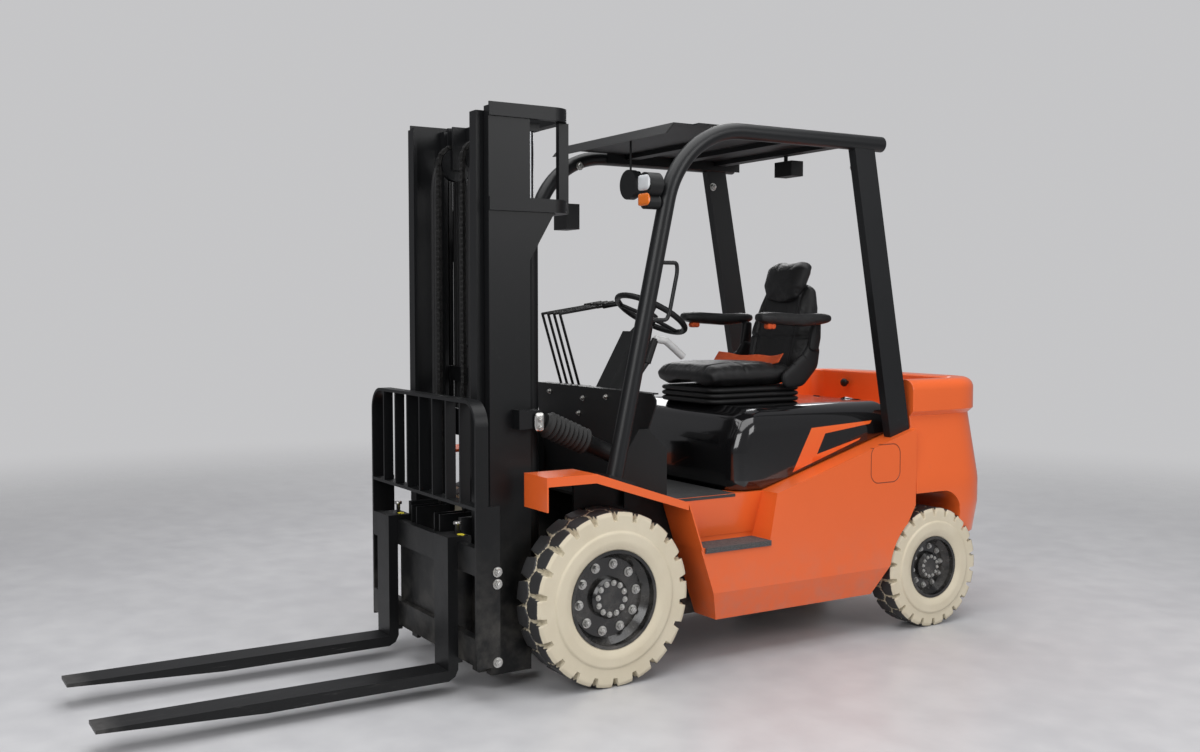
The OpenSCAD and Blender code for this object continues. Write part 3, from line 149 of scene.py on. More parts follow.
def polished_floor(place):
    """Grey floor with faint cloudy stains, fading to the room's own grey a few metres out."""
    stain = place.cloud(0.9, 5.0) * 0.5 + place.cloud(7.0, 4.0) * 0.5
    away = place.node("ShaderNodeVectorMath", {"operation": "LENGTH"}, out=1, _0=place)
    return {"Base_Color": stain.rise(0.3, 0.7).tint((0.50, 0.50, 0.515), (0.58, 0.58, 0.59)),
            "Roughness": stain * 0.25 + 0.22, "Alpha": away.rise(9.0, 3.0)}


reach = 60.0
floor_mesh = bpy.data.meshes.new("floor")
floor_mesh.from_pydata([(-reach, -reach, 0), (reach, -reach, 0), (reach, reach, 0), (-reach, reach, 0)],
                       [], [(0, 1, 2, 3)])
floor = bpy.data.objects.new("floor", floor_mesh)
bpy.context.scene.collection.objects.link(floor)
floor_mesh.materials.append(finish("polished_floor", polished_floor, Specular_IOR_Level=0.35))

room = bpy.data.worlds.new("room")
bpy.context.scene.world = room
room.use_nodes = True
seen_straight = Tone(room.node_tree, None).node("ShaderNodeLightPath")
room.node_tree.links.new(seen_straight.tint((0.24, 0.24, 0.25), (0.56, 0.56, 0.57)).socket,
                         room.node_tree.nodes["Background"].inputs["Color"])


# Frame, axles and tilt cylinders: welded plate and iron castings under the body, and the battery's steel case.
# All of it is sprayed with matt black chassis paint and carries road dust low down.
def dress(material, *nodes):
    """Gives CAD nodes a finish."""
    for node in nodes:
        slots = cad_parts[node].data.materials
        slots.clear()
        slots.append(material)


def painted(colour, dusty, peel=0.00006, rough=0.42, low=0.05, high=0.7):
    """Sprayed paint: faint blotches, fine orange peel, dull scuffs, and dust that thickens towards the ground."""

    def recipe(place):
        blotch = place.cloud(2.2, 4.0)
        scuff = place.cloud(38.0, 6.0, 0.7).rise(0.60, 0.74) * place.cloud(5.0).rise(0.45, 0.65)
        dust = place.axis(2).rise(high, low) * place.cloud(11.0, 5.0, 0.6).rise(0.35, 0.75) * dusty
        base = blotch.tint(tuple(0.93 * c for c in colour), tuple(min(1.0, 1.06 * c) for c in colour))
        base = (scuff * 0.25).tint(base, tuple(0.6 * c + 0.05 for c in colour))
        return {"Base_Color": dust.tint(base, (0.30, 0.28, 0.25)),
                "Roughness": scuff * 0.2 + dust * 0.35 + blotch * 0.08 + (rough - 0.04),
                "Height": place.cloud(420.0, 2.0) * peel + scuff * 0.00008}

    return recipe


chassis_black = finish("chassis_black", painted((0.006, 0.0063, 0.0067), 0.35, rough=0.48),
                       Specular_IOR_Level=0.28)
dress(chassis_black, "frame", "drive_axle", "steer_axle", "knuckle_left", "knuckle_right", "tilt_barrels",
      "battery")

# Body sheets: pressed steel side panels and fenders, welded to the frame, in glossy orange enamel that is baked on.
# A charging flap sits flush in each side panel, and only the thin groove round it shows.
orange = (0.86, 0.138, 0.024)


def enamel(place):
    """Orange enamel; the flap's groove is a thin band at a set distance from a small upright rectangle."""
    flap_y, flap_z, core_y, core_z, corner = 1.233, 0.757, 0.041, 0.038, 0.045
    parts = painted(orange, 0.25, 0.00005, 0.30, 0.1, 0.55)(place)
    x, y, z = (place.axis(k) for k in range(3))
    off_y = x.math("MAXIMUM", x.math("ABSOLUTE", y - flap_y) - core_y, 0.0)
    off_z = x.math("MAXIMUM", x.math("ABSOLUTE", z - flap_z) - core_z, 0.0)
    gap = x.math("ABSOLUTE", x.math("SQRT", off_y * off_y + off_z * off_z) - corner)
    groove = gap.rise(0.0030, 0.0014) * x.rise(0.55, 0.56)
    parts["Base_Color"] = (groove * 0.8).tint(parts["Base_Color"], (0.16, 0.02, 0.004))
    parts["Height"] = parts["Height"] - groove * 0.0015
    return parts


body_orange = finish("body_orange", enamel, Coat_Weight=0.35, Coat_Roughness=0.12)
dress(body_orange, "side_panel_left", "side_panel_right", "fenders")


# Counterweight: one heavy iron casting under the same enamel, waisted below a rounded lip, with a tray on top, an
# arch over the steered wheels, and a slot with a pocket above it for the tow pin at the rear.
def sheet_mesh(name, points, body, material, wrap=(False, False), values=None, smooth=True, caps=True,
               facing=None):
    """Mesh on grids of points (copies, rows, columns, 3): quads between neighbours, joined round where wrap says
    so, and capped at the ends of a tube. Faces look out of the volume they enclose, or along facing on a sheet."""
    rows, columns = points.shape[-3:-1]
    i, j = np.meshgrid(np.arange(rows - (not wrap[0])), np.arange(columns - (not wrap[1])), indexing="ij")
    i1, j1 = (i + 1) % rows, (j + 1) % columns
    quads = np.stack([i * columns + j, i1 * columns + j, i1 * columns + j1, i * columns + j1], -1).reshape(-1, 4)
    start = (np.arange(points.size // (rows * columns * 3)) * rows * columns)[:, None]
    quads = (quads[None] + start[:, :, None]).reshape(-1, 4)
    faces = quads.tolist()
    if caps and wrap == (False, True):
        faces += (start + np.arange(columns)).tolist() + (start + rows * columns - 1 - np.arange(columns)).tolist()
    flat = points.reshape(-1, 3)
    a, b, c, d = (flat[quads[:, k]] - flat.mean(0) for k in range(4))
    area = np.cross(c - a, d - b)
    if (a * area).sum() < 0 if facing is None else (area @ np.array(facing)).sum() < 0:
        faces = [face[::-1] for face in faces]
    mesh = bpy.data.meshes.new(name)
    mesh.from_pydata(flat.tolist(), [], faces)
    for key, number in (values or {}).items():
        mesh.attributes.new(key, "FLOAT", "POINT").data.foreach_set("value", np.ravel(number).astype(np.float32))
    mesh.polygons.foreach_set("use_smooth", np.full(len(faces), smooth))
    mesh.materials.append(material)
    piece = bpy.data.objects.new(name, mesh)
    bpy.context.scene.collection.objects.link(piece)
    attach(piece, body)
    return piece


def outline(half, front, back, r_front, r_back, counts):
    """Rounded rectangles in plan, one for each level: quarter circles at the corners, joined by straight edges with
    that many points between."""
    half, front, back, r_front, r_back = (v[:, None] for v in np.broadcast_arrays(
        *(np.atleast_1d(v).astype(float) for v in (half, front, back, r_front, r_back))))
    arcs, parts = [], []
    for k, (sign, edge, r) in enumerate(((1, back - r_back, r_back), (-1, back - r_back, r_back),
                                         (-1, front + r_front, r_front), (1, front + r_front, r_front))):
        turn = (k + np.linspace(0, 1, 13)) * np.pi / 2
        arcs.append(np.stack([sign * (half - r) + r * np.cos(turn), edge + r * np.sin(turn)], -1))
    for k, count in enumerate(counts):
        step = ((np.arange(count) + 1) / (count + 1))[None, :, None]
        parts += [arcs[k], arcs[k][:, -1:] * (1 - step) + arcs[(k + 1) % 4][:, :1] * step]
    return np.concatenate(parts, 1)


def weld(piece):
    """Joins points that lie on each other, where a closed shape's two halves meet, and keeps its bends sharp."""
    work = bmesh.new()
    work.from_mesh(piece.data)
    bmesh.ops.remove_doubles(work, verts=work.verts, dist=1e-5)
    work.to_mesh(piece.data)
    work.free()
    piece.data.set_sharp_from_angle(angle=math.radians(38.0))


foot, waist_top, lip_low, lip_round, tray_floor = 0.402, 0.950, 1.064, 0.048, 0.955
half_wide, front_y, rear_y, corner_r = 0.573, 1.4225, 1.960, 0.235
arch_y, arch_z, arch_r = 1.593, 0.495, 0.115
slot_z, slot_half, pocket_z, pocket_half, hole_half, hole_y = 0.520, 0.040, 0.665, 0.065, 0.060, 1.840
battery_half, battery_y = 0.467, 1.424

# From the foot up: the waisted wall with close rows at the holes' edges, the lip's quarter round, then the tray.
edges = np.array((slot_z - slot_half, slot_z + slot_half, pocket_z - pocket_half, pocket_z + pocket_half))
level = np.sort(np.concatenate([np.linspace(foot, waist_top, 17), edges - 0.0007, edges + 0.0007]))
inset = np.interp(level, (foot, 0.540, 0.650, waist_top), (0.022, 0.0, 0.0, 0.050))
quarter = np.linspace(0, np.pi / 2, 9)
level = np.concatenate([level, (0.972, 1.0, 1.03), lip_low + lip_round * np.sin(quarter),
                        (1.112, 1.106, 1.09, 1.02, tray_floor)])
inset = np.concatenate([inset, (0.026, 0.026, 0.026), 0.026 + lip_round * (1 - np.cos(quarter)),
                        (0.100, 0.106, 0.107, 0.107, 0.107)])
tray = (inset >= 0.1).astype(float)
plan = outline(half_wide - inset, front_y, rear_y - inset - 0.084 * tray, 0.004,
               corner_r - inset - 0.070 * tray, (80, 90, 60, 90))
across, along = plan[..., 0], plan[..., 1]
arch = arch_z + np.sqrt(np.clip(arch_r ** 2 - np.clip(along - arch_y, 0, 1) ** 2, 0, 1))
height = np.maximum(np.broadcast_to(level[:, None], along.shape), np.where(along < arch_y + arch_r, arch, 0.0))
height = np.where((np.abs(across) < battery_half) & (along < battery_y), np.minimum(height, tray_floor), height)
in_hole = (np.abs(level - slot_z) < slot_half) | (np.abs(level - pocket_z) < pocket_half)
pushed = (np.abs(across) < hole_half) & (along > 1.90) & in_hole[:, None]
casting = np.stack([across, np.where(pushed, hole_y, along), height], -1)
to_middle = np.concatenate([np.linspace(0, 1, 6)[:-1, None, None], np.ones((5, 1, 2))], -1)
casting = np.concatenate([casting[:1] * to_middle, casting, casting[-1:] * to_middle[::-1]])
weight = sheet_mesh("counterweight_casting", casting, "chassis", body_orange, (False, True), caps=False)
weld(weight)
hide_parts("counterweight")


# Hood: a moulded lid over the battery, hinged at its rear, with rounded shoulders and front corners.
# It is deep gloss black with thin dust on its top, and an orange flash is painted on each flank.
def hood_gloss(place):
    """Gloss black with fine dust on top; the flash is a slanted polygon on the flank less a smaller one in it."""
    x, y, z = (place.axis(k) for k in range(3))

    def inside(*corners):
        """1 inside a convex polygon of (y, z) corners, the product of one soft step across each edge."""
        mask = 1.0
        for (y0, z0), (y1, z1) in zip(corners, corners[1:] + corners[:1]):
            long = math.hypot(y1 - y0, z1 - z0)
            mask = mask * ((z - z0) * ((y1 - y0) / long) - (y - y0) * ((z1 - z0) / long)).rise(0.0008, -0.0008)
        return mask

    flash = inside((0.795, 0.737), (0.899, 0.920), (1.250, 0.936), (1.172, 0.854))
    flash = flash * (1.0 - inside((0.930, 0.806), (0.976, 0.893), (1.268, 0.926), (1.268, 0.884)))
    flash = flash * x.math("ABSOLUTE", x).rise(0.440, 0.446)
    specks = place.cloud(160.0, 4.0, 0.7).rise(0.62, 0.72)
    return {"Base_Color": flash.tint((0.006, 0.006, 0.0065), orange),
            "Roughness": specks * 0.14 + place.cloud(6.0) * 0.10 + 0.08,
            "Height": place.cloud(30.0, 1.0) * 0.00010}


gloss = finish("hood_gloss", hood_gloss, Coat_Weight=0.6, Coat_Roughness=0.05)
hem, shoulder, shoulder_r, sill_y, sill_slope = 0.681, 0.907, 0.105, 0.630, 0.2855
level = np.concatenate([(hem, 0.72, 0.76, 0.80, 0.83, 0.85, 0.88),
                        shoulder + shoulder_r * np.sin(np.linspace(0, np.pi / 2, 13))])
plan = outline(0.365 + np.sqrt(shoulder_r ** 2 - np.clip(level - shoulder, 0, shoulder_r) ** 2),
               0.490 + np.interp(level, (0.85, 0.91, 0.978, 1.012), (0, 0.02, 0.055, 0.135)),
               1.370 - np.interp(level, (0.985, 1.012), (0, 0.02)), 0.070, 0.015, (20, 80, 20, 80))
sill = hem + np.clip(plan[..., 1] - sill_y, 0, None) * sill_slope
lid = np.concatenate([plan, np.maximum(level[:, None], sill)[..., None]], -1)
lid = np.concatenate([lid] + [lid[-1:] * np.array((share, 1, 1)) for share in (0.75, 0.5, 0.25, 0.0)])
hood = sheet_mesh("hood_lid_shell", lid, "hood_lid", gloss, (False, True), caps=False)
weld(hood)
wall = hood.modifiers.new("wall", "SOLIDIFY")
wall.thickness, wall.offset = 0.007, -1.0
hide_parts("hood")

# Cowl, roof, column, mirror and lamp housings: folded sheet bolted to the frame and guard, and moulded covers,
# all in fine-textured satin black.
cowl_satin = finish("cowl_satin", painted((0.010, 0.0105, 0.011), 0.15, 0.00016, 0.50), Specular_IOR_Level=0.3)
dress(cowl_satin, "cowl", "roof_panel", "steering_column", "view_mirror", "lamps")

# Overhead guard: bent steel tube in front and box posts behind, bolted to the body to shield the driver.
# It is powder coated black with a soft sheen.
guard_black = finish("guard_black", painted((0.010, 0.0107, 0.0116), 0.1, 0.00010, 0.36), Specular_IOR_Level=0.35)
dress(guard_black, "guard_tubes", "guard_posts", "grab_handle")


# Mast, carriage and backrest: rolled steel sections welded into frames, sprayed satin black.
# The lift rods that slide out of their barrels are hard chromed.
def mottled(low, high, blotches, rough, grain, detail=3.0):
    """Plain finish: colour between low and high in that many blotches to the metre; a roughness that swings up from
    its least (blotches, swing, least), and a fine grain (blotches, height)."""
    return lambda place: {"Base_Color": place.cloud(blotches, detail).tint(low, high),
                          "Roughness": place.cloud(rough[0]) * rough[1] + rough[2],
                          "Height": place.cloud(grain[0]) * grain[1]}


mast_black = finish("mast_black", painted((0.0058, 0.0062, 0.0068), 0.2, 0.00008, 0.40), Specular_IOR_Level=0.28)
dress(mast_black, "outer_rails", "outer_crossmembers", "lift_barrels", "inner_rails", "inner_crossmembers",
      "carriage", "load_backrest")
lift_chrome = finish("lift_chrome", mottled((0.16, 0.165, 0.17), (0.24, 0.24, 0.25), 4.0, (60.0, 0.15, 0.08),
                                            (300.0, 0.00003)), Metallic=1.0)
dress(lift_chrome, "lift_rods")


# Forks: forged steel bars hooked over the carriage, in black paint that is scuffed to grey along the blade.
# The tips are rubbed bright where they slide under loads.
def fork_paint(place):
    """Black paint that wears to steel: more towards the tip and in long scratches along the blade."""
    y, z = place.axis(1), place.axis(2)
    streak = place.node("ShaderNodeMapping", Vector=place, Scale=(30.0, 1.5, 30.0)).cloud(3.0, 6.0, 0.7)
    worn = streak.rise(0.60, 0.72) * z.rise(0.12, 0.09) * 0.5 + y.rise(-1.86, -1.96) * place.cloud(40.0, 4.0) * 0.8
    worn = worn.math("MINIMUM", worn, 1.0)
    return {"Base_Color": worn.tint((0.007, 0.0073, 0.0078), (0.16, 0.155, 0.15)),
            "Roughness": worn * 0.15 + place.cloud(14.0) * 0.12 + 0.34,
            "Metallic": worn * 0.8, "Height": streak * 0.0002 + place.cloud(300.0) * 0.00008}


dress(finish("fork_paint", fork_paint, Specular_IOR_Level=0.3), "forks")

# Step plates and floor: pressed steel steps bolted in the side panels, with a gritty grey non-slip face,
# and a ribbed rubber mat laid on the floor plate.
dress(finish("step_grit", lambda place: {
    "Base_Color": place.cloud(260.0, 3.0).rise(0.35, 0.7).tint((0.035, 0.035, 0.036), (0.13, 0.13, 0.13)),
    "Roughness": place.cloud(90.0) * 0.2 + 0.7, "Height": place.cloud(260.0, 3.0) * 0.0018}), "step_plates")
dress(finish("floor_mat", lambda place: {
    "Base_Color": place.cloud(18.0, 4.0).tint((0.022, 0.022, 0.023), (0.05, 0.05, 0.05)),
    "Roughness": place.cloud(40.0) * 0.2 + 0.55, "Height": place.axis(0).ribs(420.0) * 0.0008}), "floor_plate")

# Rims: pressed steel discs welded into rolled rims, bolted to the hubs.
# They are painted gloss black, with a little dust.
dress(finish("rim_black", painted((0.005, 0.005, 0.0053), 0.3, 0.00006, 0.22), Coat_Weight=0.3, Coat_Roughness=0.1),
      "front_rim_left", "front_rim_right", "rear_rim_left", "rear_rim_right")


# Tyres: solid non-marking cushion tyres, cast in cream rubber and pressed on the rims; the tread blocks' tops are
# painted dark grey, partly scuffing from the floor and partly painted shade, with wide slots at the shoulders and a
# zigzag groove round the middle.
def tyre_rubber(place):
    """Cream rubber, dark grey on the block tops, partly scuffing from the floor and partly painted shade, with
    brown dirt in the grooves.
    """
    # The worn attribute marks the block tops, which are painted dark grey partly for scuffing and partly as painted
    # shade.
    worn = place.node("ShaderNodeAttribute", {"attribute_name": "worn"}, out=2)
    deep = place.node("ShaderNodeAttribute", {"attribute_name": "deep"}, out=2)
    speck = place.cloud(70.0, 5.0, 0.65)
    rubbed_and_shaded = (worn + speck * 0.5 - 0.25).rise(0.35, 0.62)
    cream = place.cloud(9.0, 4.0).tint((0.62, 0.545, 0.40), (0.74, 0.67, 0.52))
    cream = (deep * speck.rise(0.3, 0.7) * 0.55).tint(cream, (0.30, 0.26, 0.15))
    return {"Base_Color": rubbed_and_shaded.tint(cream, (0.045, 0.045, 0.046)),
            "Roughness": speck * 0.2 + 0.5 - rubbed_and_shaded * 0.15, "Height": speck * 0.0005}


tyre_cream = finish("tyre_cream", tyre_rubber)


def tyre(node, body, bore, lugs=22, slot=0.30, reach=0.34, cut=0.040, steps=20):
    """Ring of a closed section: the section's radius falls to the groove's floor where the turn angle lies in a
    shoulder slot of that side, or the place across lies on the zigzag middle line."""
    low, high = (np.array(c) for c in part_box(node))
    middle, wide, radius = (low + high) / 2, high[0] - low[0], (high[2] - low[2]) / 2
    half, bead, edge, ledge, groove = wide / 2, 0.012, 0.014, 0.006, 0.010
    flank = [(half - bead, bore), (half - bead / 2, bore + bead), (half, bore + 0.030), (half, radius * 0.765),
             (half - ledge, radius * 0.780), (half - ledge, radius - edge), (half - edge, radius)]
    corners = np.array(flank + [(-a, r) for a, r in flank[::-1]])
    counts = [2, 2, 5, 2, 12, 3, 36, 3, 12, 2, 5, 2, 2, 2]
    run = np.concatenate([np.linspace(corners[k], corners[(k + 1) % 14], n, endpoint=False)
                          for k, n in enumerate(counts)])
    turn = np.arange(lugs * steps) / (lugs * steps) * 2 * np.pi
    across, out = run[None, :, 0], run[None, :, 1]
    pitch = 2 * np.pi / lugs
    phase = (turn[:, None] / pitch + np.where(across > 0, 0.5, 0.0)) % 1.0 - 0.5
    near = np.clip((np.abs(across) / half - (1 - 2 * reach)) / (2 * reach), 0, 1)
    slot_half = slot / 2 * (0.30 + 0.75 * near ** 1.5)
    in_slot = np.clip((slot_half - np.abs(phase)) * steps * 0.9 + 0.5, 0, 1)
    zig = half * 0.16 * (4 * np.abs((turn[:, None] / pitch) % 1.0 - 0.5) - 1)
    in_zig = np.clip((0.005 - np.abs(across - zig)) / 0.003 + 0.5, 0, 1)
    depth = np.maximum(in_slot * (groove + (cut - groove) * near), in_zig * groove)
    lowered = np.minimum(out, radius - depth)
    # Tread tops: this mask becomes the worn value, which the shader paints dark grey, partly scuffing and partly
    # painted shade.
    top = np.clip((lowered - (radius - 0.006)) / 0.004, 0, 1)
    top = top * np.clip((half - 0.010 - np.abs(across)) / 0.006, 0, 1)
    points = np.stack(np.broadcast_arrays(middle[0] + across, middle[1] + lowered * np.sin(turn)[:, None],
                                          middle[2] + lowered * np.cos(turn)[:, None]), -1)
    piece = sheet_mesh(node + "_rubber", points, body, tyre_cream, (True, True),
                       {"worn": top, "deep": np.clip((out - lowered) / 0.01, 0, 1)})
    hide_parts(node)


for end, bore in (("front", 0.1883), ("rear", 0.1383)):
    for side in ("left", "right"):
        tyre(f"{end}_tyre_{side}", f"wheel_{end}_{side}", bore)

# Wheel nuts: zinc-plated hexagon nuts on washers, turned on studs that stand out of the hub.
# Ten sit round each disc, and twelve smaller ones round each hub's cap.
zinc = finish("zinc", mottled((0.42, 0.42, 0.41), (0.66, 0.65, 0.62), 90.0, (200.0, 0.25, 0.22), (400.0, 0.0001)),
              Metallic=1.0)


def around(axis, columns):
    """The unit axis, and a unit circle round it: cosine along one side of the axis, sine along the other."""
    out = np.array(axis, float) / np.linalg.norm(axis)
    side = np.cross(out, (0.31, 0.52, 0.79))
    side /= np.linalg.norm(side)
    turn = np.arange(columns) / columns * 2 * np.pi
    return out, np.cos(turn)[:, None] * side + np.sin(turn)[:, None] * np.cross(out, side)


def bolts(name, places, axis, size, body):
    """Hexagon heads on washers: rings of a fixed radius for the washer, then of a radius over the cosine of the
    angle from the nearest flat for the head, stacked along the axis at each place."""
    out, circle = around(axis, 24)
    turn = np.arange(24) / 24 * 2 * np.pi
    flat = np.cos(np.pi / 6) / np.cos((turn + np.pi / 6) % (np.pi / 3) - np.pi / 6)
    rings = [(0.72, 0.00, 0), (0.72, 0.10, 0), (0.55, 0.10, 1), (0.55, 0.48, 1), (0.50, 0.55, 1), (0.30, 0.56, 0),
             (0.30, 0.75, 0), (0.24, 0.80, 0), (0.002, 0.80, 0)]
    radius = np.array([r * (flat if h else np.ones(24)) for r, _, h in rings])[:, :, None] * size
    lift = np.array([z for _, z, _ in rings])[:, None, None] * size
    points = np.array(places, float)[:, None, None] + (radius * circle + lift * out)[None]
    sheet_mesh(name, points, body, zinc, (False, True), smooth=False)


sides = (("left", 1), ("right", -1))
for end, nut, disc_r, disc_x, hub_r, hub_x in (("front", 0.026, 0.128, 0.5214, 0.060, 0.5505),
                                               ("rear", 0.018, 0.088, 0.518, 0.044, 0.5428)):
    for side, sign in sides:
        low, high = (np.array(c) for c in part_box(f"{end}_tyre_{side}"))
        middle = (low + high) / 2
        for ring, count, radius, face, size in (("disc", 10, disc_r, disc_x, nut),
                                                ("hub", 12, hub_r, hub_x, nut * 0.6)):
            turn = (np.arange(count) + 0.3) / count * 2 * np.pi
            places = np.stack([np.full(count, sign * face), middle[1] + radius * np.sin(turn),
                               middle[2] + radius * np.cos(turn)], -1)
            bolts(f"{end}_{ring}_nuts_{side}", places, (sign, 0, 0), size, f"wheel_{end}_{side}")

# Sheet-metal bolts: zinc-plated hexagon bolts on washers that hold the cowl's face to the frame, the guard to its
# posts and the backrest's legs to the carriage.
cowl_face, leg_y = 0.080, -0.616
bolts("cowl_bolts", [(x, cowl_face, z) for x, z in ((-0.057, 1.047), (0.128, 1.063), (-0.091, 0.981),
                                                    (-0.343, 1.060), (0.343, 1.060))], (0, -1, 0), 0.017, "chassis")
for side, sign in sides:
    bolts(f"roof_bolts_{side}", [(sign * 0.4875, 0.321, 2.085), (sign * 0.500, 1.098, 2.030)], (-sign, 0, 0), 0.026,
          "chassis")
rest_low, rest_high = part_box("load_backrest")
for (side, sign), face in zip(sides, (rest_high[0], rest_low[0])):
    bolts(f"rest_bolts_{side}", [(face, leg_y, z) for z in (0.147, 0.434, 0.478)], (sign, 0, 0), 0.026, "carriage")


# Seat: black grained leather sewn over foam, with bolsters, a headrest and padded arms, on a moulded shell.
# It stands on a suspension base behind rubber bellows, which is bolted to the hood.
def leather(place):
    """Black leather: fine cells of grain, soft creases, a dull sheen that polishes where it is sat on."""
    grain = place.node("ShaderNodeTexVoronoi", {"feature": "DISTANCE_TO_EDGE"}, Vector=place, Scale=330.0)
    crease = place.cloud(26.0, 5.0, 0.6)
    return {"Base_Color": crease.tint((0.006, 0.006, 0.0062), (0.016, 0.016, 0.0165)),
            "Roughness": crease * 0.2 + 0.30, "Height": grain.rise(0.0, 0.25) * 0.00025 + crease * 0.0012}


seat_leather = finish("seat_leather", leather, Specular_IOR_Level=0.4)
seat_shell = finish("seat_shell", painted((0.009, 0.009, 0.0095), 0.1, 0.00025, 0.5), Specular_IOR_Level=0.3)
dress(seat_shell, "control_levers", "steering_wheel", "brake_lever")
folds, base_z, base_tall = 3, 1.0125, 0.0725
step = np.linspace(0, 1, 37)
fold = 0.004 + 0.016 * (1 - np.abs(np.sin(folds * np.pi * step)) ** 0.4)
plan = outline(0.215 - fold, 0.565 + fold, 1.080 - fold, 0.055, 0.055, (8, 8, 8, 8))
height = np.broadcast_to((base_z + base_tall * step)[:, None, None], plan.shape[:2] + (1,))
bellows = np.concatenate([plan, height], -1)
bellows = np.concatenate([bellows[:1] * np.array((0, 1, 1)), bellows, bellows[-1:] * np.array((0, 1, 1))])
suspension = sheet_mesh("seat_bellows", bellows, "hood_lid", seat_shell, (False, True), caps=False)
weld(suspension)
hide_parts("seat_base")


def pad(path, wide, deep, power=2.8, hollow=0.0, rows=64, columns=72, x0=0.0):
    """Loft: rounded-square rings of half width wide and half depth deep carried along path (y, z), drawn in at
    both ends; the front is hollowed between its bolsters."""
    t = np.linspace(0, 1, rows)
    knots = np.linspace(0, 1, len(path))
    line = np.stack([np.interp(t, knots, np.array(path)[:, k]) for k in (0, 1)], -1)
    along = np.gradient(line, axis=0)
    along /= np.linalg.norm(along, axis=1, keepdims=True)
    front = np.stack([-along[:, 1], along[:, 0]], -1)
    ends = np.clip(np.minimum(t, 1 - t) / 0.09, 0, 1)
    ends = np.maximum(np.sqrt(1 - (1 - ends) ** 2), 0.01)
    w = np.interp(t, np.linspace(0, 1, len(wide)), wide) * (0.55 + 0.45 * ends)
    d = np.interp(t, np.linspace(0, 1, len(deep)), deep) * ends
    turn = np.arange(columns) / columns * 2 * np.pi
    cx = np.sign(np.cos(turn)) * np.abs(np.cos(turn)) ** (2 / power)
    cy = np.sign(np.sin(turn)) * np.abs(np.sin(turn)) ** (2 / power)
    dent = hollow * np.exp(-(cx / 0.55) ** 4) * np.clip(np.sin(turn), 0, 1)[None] ** 0.5
    reach = d[:, None] * cy[None] - dent * ends[:, None]
    return np.stack([x0 + w[:, None] * cx[None] * ends[:, None] ** 0.3,
                     line[:, :1] + front[:, :1] * reach, line[:, 1:] + front[:, 1:] * reach], -1)


def soft(name, points, node=None, cap=0.010, seams=(), facing=(0, 0, 1)):
    """Padded piece: the loft is meshed evenly and blown up as cloth under light pressure, each point moving no more
    than cap; then the side that faces that way is pulled in along its seams, and all is subdivided once."""
    seam_deep, seam_wide = 0.007, 0.007
    piece = sheet_mesh(name, points, "hood_lid", seat_leather, (False, True))
    even = piece.modifiers.new("even", "REMESH")
    even.mode, even.voxel_size = "VOXEL", 0.006
    mesh = bpy.data.meshes.new_from_object(piece.evaluated_get(bpy.context.evaluated_depsgraph_get()))
    piece.modifiers.clear()
    piece.data = mesh
    place = np.empty(len(mesh.vertices) * 3)
    mesh.vertices.foreach_get("co", place)
    cloth = piece.modifiers.new("cloth", "CLOTH")
    cloth.settings.use_pressure, cloth.settings.uniform_pressure_force = True, 4.0
    cloth.settings.effector_weights.gravity = 0.0
    for moment in range(1, 21):
        bpy.context.scene.frame_set(moment)
    blown = np.empty_like(place)
    piece.evaluated_get(bpy.context.evaluated_depsgraph_get()).data.vertices.foreach_get("co", blown)
    piece.modifiers.clear()
    bpy.context.scene.frame_set(1)
    move = (blown - place).reshape(-1, 3)
    far = np.linalg.norm(move, axis=1, keepdims=True)
    place = place.reshape(-1, 3) + move * np.minimum(1.0, cap / np.maximum(far, 1e-9))
    mesh.vertices.foreach_set("co", place.ravel())
    mesh.update()
    out = np.empty(place.size)
    mesh.vertices.foreach_get("normal", out)
    out = out.reshape(-1, 3)
    turned = np.clip(out @ np.array(facing), 0, 1)
    for axis, where in seams:
        pull = seam_deep * np.exp(-((np.abs(place[:, axis]) - where) / seam_wide) ** 2) * turned
        place = place - out * pull[:, None]
    mesh.vertices.foreach_set("co", place.ravel())
    mesh.polygons.foreach_set("use_smooth", np.ones(len(mesh.polygons), bool))
    mesh.update()
    swell = piece.modifiers.new("swell", "SUBSURF")
    swell.levels = swell.render_levels = 1
    if node:
        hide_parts(node)


def both_sides(x0, grid, *loft):
    """The same loft on the left and on the right, x0 from the middle, on a square grid."""
    return np.stack([pad(*loft, rows=grid, columns=grid, x0=sign * x0) for _, sign in sides])


soft("cushion", pad([(1.045, 1.136), (0.90, 1.138), (0.70, 1.139), (0.60, 1.134), (0.552, 1.116)],
                    [0.218, 0.228, 0.232, 0.228, 0.208], [0.042, 0.046, 0.048, 0.044, 0.030], 3.4, 0.022),
     "seat_cushion", cap=0.008, seams=((0, 0.140), (1, 0.740)))
soft("back", pad([(1.090, 1.10), (1.110, 1.20), (1.134, 1.32), (1.162, 1.44), (1.187, 1.555)],
                 [0.184, 0.214, 0.218, 0.190, 0.146], [0.042, 0.054, 0.052, 0.045, 0.034], 3.0, 0.026),
     "seat_back", cap=0.008, seams=((0, 0.125), (2, 1.300)), facing=(0, -1, 0.2))
soft("headrest", pad([(1.126, 1.460), (1.142, 1.53), (1.170, 1.60), (1.205, 1.634)],
                     [0.100, 0.136, 0.140, 0.116], [0.030, 0.040, 0.042, 0.030], 2.6, 0.006), cap=0.006)
arm_x = 0.278
arm_pads = both_sides(arm_x, 40, [(0.756, 1.392), (0.80, 1.388), (1.0, 1.376), (1.172, 1.386)],
                      [0.030, 0.036, 0.036, 0.032], [0.018, 0.023, 0.024, 0.020], 3.0)
soft("arm_pads", arm_pads, "armrests", 0.004)
arm_brackets = both_sides(0.246, 24, [(1.10, 1.235), (1.112, 1.30), (1.118, 1.368)],
                          [0.014, 0.016, 0.016], [0.026, 0.028, 0.022])
sheet_mesh("arm_brackets", arm_brackets, "hood_lid", seat_shell, (False, True))
